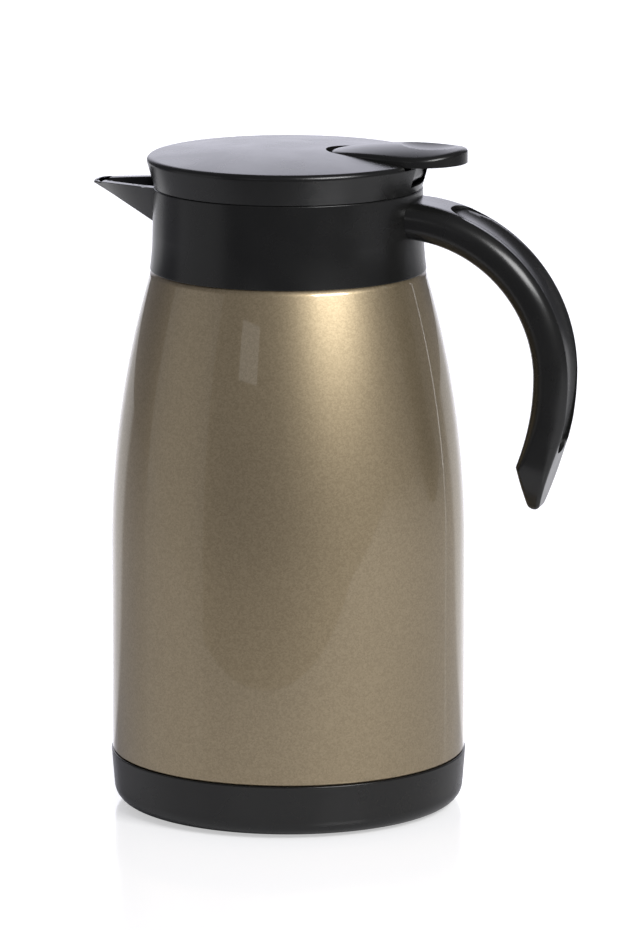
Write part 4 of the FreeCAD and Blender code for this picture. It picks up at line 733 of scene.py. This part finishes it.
carve(lid, block("tongue_slot", (9.6, -4.6, 230.0), (29.5, 4.6, 237.6)), "DIFFERENCE")
smooth(lid, 35)
fit(lid, black_plastic, "black_plastic", "stopper", "lid_cover")

# Lid screws and lever pin: four screws from under the deck, and the steel pin that the lever turns on.
# They keep the shapes of their solids, since the lid and the lever cover them.
dress(brushed_steel, "lid_screws", "lever_pin")

# Thumb lever: moulded black teardrop, crowned along and across, with a dish for the thumb.
# Under it are the knuckle on the pin and the tongue whose fork lifts the stem cap.
lever_foot, lever_top = 239.0, 245.6
lever_peak, lever_bow, lever_crown = 47.0, 141.0, 45.0
edge_round = 1.3
pivot_x, pivot_height = 45.5, 234.0
middle_x = 42.0
dish_radius, dish_x, dish_height = 32.0, 53.6, 275.5


def crown_height(x, y):
    """Height of the lever's top, bowed along its length and across its width."""
    across = lever_bow - lever_crown + math.sqrt(lever_crown ** 2 - y ** 2)
    return lever_top - lever_bow + math.sqrt(across ** 2 - (x - lever_peak) ** 2)


plan = teardrop(0.0, 0.0, lever_foot)
lever = start_piece("lever_paddle", plan[0])
draw_line(plan + plan[:1])
bpy.ops.mesh.select_all(action="SELECT")
bpy.ops.mesh.remove_doubles(threshold=0.001 * MM)
bpy.ops.mesh.extrude_region_move(TRANSFORM_OT_translate={"value": (0, 0, 2.0 * MM)})
insets = [0.1, 0.3, 0.6, 0.95, 1.35, 2.0, 3.2, 5.0, 7.0, 9.0, 11.0, 13.0, 15.0]
ring_scale = 1.0
for inset in insets:
    bpy.ops.mesh.extrude_region_move(TRANSFORM_OT_translate={"value": (0, 0, 0)})
    wanted = 1 - inset / end_radius
    bpy.ops.transform.resize(value=(wanted / ring_scale, wanted / ring_scale, 1),
                             center_override=(middle_x * MM, 0, 0))
    ring_scale = wanted
bpy.ops.mesh.edge_face_add()
bpy.ops.object.mode_set(mode="OBJECT")
ring_of = len(plan)
for vertex in lever.data.vertices:
    ring = vertex.index // ring_of
    if ring == 0:
        continue
    x, y = vertex.co.x / MM, vertex.co.y / MM
    inset = 0.0 if ring == 1 else insets[ring - 2]
    drop = edge_round - math.sqrt(edge_round ** 2 - (edge_round - min(inset, edge_round)) ** 2)
    vertex.co.z = (crown_height(x, y) - drop) * MM
bpy.ops.object.mode_set(mode="EDIT")
bpy.ops.mesh.select_all(action="DESELECT")
bpy.ops.mesh.select_non_manifold()
bpy.ops.mesh.edge_face_add()
close_up()
bpy.ops.object.select_all(action="DESELECT")
bpy.ops.mesh.primitive_uv_sphere_add(segments=256, ring_count=192, radius=dish_radius * MM,
                                     location=(dish_x * MM, 0, dish_height * MM))
carve(lever, bpy.context.object, "DIFFERENCE")
carve(lever, rod("knuckle", (pivot_x, -9.5, pivot_height), (pivot_x, 9.5, pivot_height), 2.8), "UNION")
carve(lever, block("knuckle_web", (42.7, -9.5, 234.0), (48.3, 9.5, 240.0)), "UNION")
carve(lever, block("lever_web", (19.5, -4.0, 229.8), (23.5, 4.0, 240.0)), "UNION")
carve(lever, block("tongue", (7.0, -4.0, 229.8), (23.5, 4.0, 231.8)), "UNION")
carve(lever, block("fork", (-3.0, -6.0, 229.8), (9.0, 6.0, 231.8)), "UNION")
carve(lever, rod("stem_hole", (0, 0, 227.0), (0, 0, 234.0), 2.95), "DIFFERENCE")
carve(lever, block("stem_slot", (-5.0, -2.95, 227.8), (0.0, 2.95, 233.8)), "DIFFERENCE")
carve(lever, rod("pin_hole", (pivot_x, -12, pivot_height), (pivot_x, 12, pivot_height), 1.3), "DIFFERENCE")
smooth(lever, 30)
fit(lever, black_plastic, "black_plastic", "lever", "thumb_lever")

# Floor: glossy white table top that ends a little way in front of the carafe, as the reflections show.
# The part behind the carafe glows in reflections, as a lit sweep does.
view_turn = math.radians(15)
away_x, away_y = -math.sin(view_turn), math.cos(view_turn)
floor_width, floor_depth, floor_middle = 4.0, 3.0, 1.2
bpy.ops.object.select_all(action="DESELECT")
bpy.ops.mesh.primitive_grid_add(x_subdivisions=2, y_subdivisions=2, size=1)
floor = bpy.context.object
floor.name = "floor"
floor.scale = (floor_width, floor_depth, 1)
floor.location = (0, floor_middle, 0)
bpy.ops.object.transform_apply(location=True, rotation=True, scale=True)
white_table, tree = new_finish("white_glossy_laminate")
seen = add(tree, "LightPath", {})
table_skin = add(tree, "BsdfPrincipled", {"Base Color": srgb("f2f2f2"), "Roughness": 0.12, "IOR": 1.45})
lift = add(tree, "Emission", {"Color": srgb("ffffff"), "Strength": 0.5})
both = add(tree, "AddShader", {0: (table_skin, 0), 1: (lift, 0)})
spot_on_table = add(tree, "TexCoord", {})
outward = add(tree, "VectorMath", {0: (spot_on_table, "Object")}, operation="NORMALIZE")
backward = add(tree, "VectorMath", {0: (outward, 0), 1: (away_x, away_y, 0.0)}, operation="DOT_PRODUCT")
back_part = add(tree, "MapRange", {"Value": (backward, "Value"), "From Min": 0.64, "From Max": 0.7})
mirrored = add(tree, "Math", {0: (seen, "Is Glossy Ray"), 1: (back_part, 0)}, operation="MULTIPLY")
lit = add(tree, "Math", {0: (seen, "Is Camera Ray"), 1: (mirrored, 0)}, operation="MAXIMUM")
bright = add(tree, "MixShader", {"Fac": (lit, 0), 1: (table_skin, 0), 2: (both, 0)})
add(tree, "OutputMaterial", {"Surface": (bright, 0)})
floor.data.materials.append(white_table)

# Studio: white behind the carafe and a dim room in front, one soft key light, and three reflectors.
# The light of the room is a little cool, so the shine on the black plastic is bluish.
scene = bpy.context.scene
scene.view_settings.view_transform = "Standard"
world = bpy.data.worlds.new("studio")
world.use_nodes = True
scene.world = world
tree = world.node_tree
tree.nodes.clear()
way = add(tree, "TexCoord", {})
back_and_up = add(tree, "VectorMath", {0: (way, "Generated"), 1: (away_x, away_y, 0.35)},
                  operation="DOT_PRODUCT")
behind = add(tree, "MapRange", {"Value": (back_and_up, "Value"), "From Min": 0.92, "From Max": 1.03,
                                "To Min": 0.12, "To Max": 1.8})
rays = add(tree, "LightPath", {})
mirror = add(tree, "Math", {0: (rays, "Is Glossy Ray"), 1: (rays, "Is Transmission Ray")},
             operation="MAXIMUM")
shown = add(tree, "Mix", {"Factor": (mirror, 0), "A": 0.3, "B": (behind, 0)}, data_type="FLOAT")
level = add(tree, "Mix", {"Factor": (rays, "Is Camera Ray"), "A": (shown, 0), "B": 1.0}, data_type="FLOAT")
cool = add(tree, "Mix", {"Factor": (rays, "Is Camera Ray"), "A": srgb("eeeefb"), "B": srgb("ffffff")},
           data_type="RGBA")
sky = add(tree, "Background", {"Color": (cool, "Result"), "Strength": (level, 0)})
add(tree, "OutputWorld", {"Surface": (sky, 0)})


def panel(name, bearing, rise, distance, width, height, power):
    """A soft light on the ring round the carafe; bearing is right of the camera, rise above the floor."""
    angle = math.radians(bearing) + view_turn
    up = math.radians(rise)
    aim = Vector((0, 0, 0.13))
    outwards = Vector((math.sin(angle) * math.cos(up), -math.cos(angle) * math.cos(up), math.sin(up)))
    spot = aim + distance * outwards
    bpy.ops.object.select_all(action="DESELECT")
    bpy.ops.object.light_add(type="AREA", location=spot,
                             rotation=(aim - spot).to_track_quat("-Z", "Y").to_euler())
    lamp = bpy.context.object
    lamp.name = name
    lamp.data.shape = "RECTANGLE"
    lamp.data.size = width
    lamp.data.size_y = height
    lamp.data.energy = power


panel("key_light", 38, 34, 1.6, 0.8, 0.55, 18)
panel("strip_light", -29, 16, 1.8, 0.42, 0.24, 0.27)
panel("left_reflector", -80, 4, 1.2, 1.1, 0.9, 0.9)
panel("right_reflector", 122, 8, 1.2, 0.02, 0.9, 0.12)

# Camera: long lens, a little above the carafe, turned to the handle's side.
# Its place, its tilt and its lens are fitted to the outline in the photo.
camera_distance, camera_height = 2.2892, 0.58
camera_dip, camera_swing = math.radians(11.24), math.radians(0.198)
bpy.ops.object.camera_add(
    location=(camera_distance * math.sin(view_turn), -camera_distance * math.cos(view_turn), camera_height),
    rotation=(math.pi / 2 - camera_dip, 0, view_turn - camera_swing))
camera = bpy.context.object
camera.data.sensor_width = 36
camera.data.lens = 247.1
camera.data.clip_end = 50
scene.camera = camera
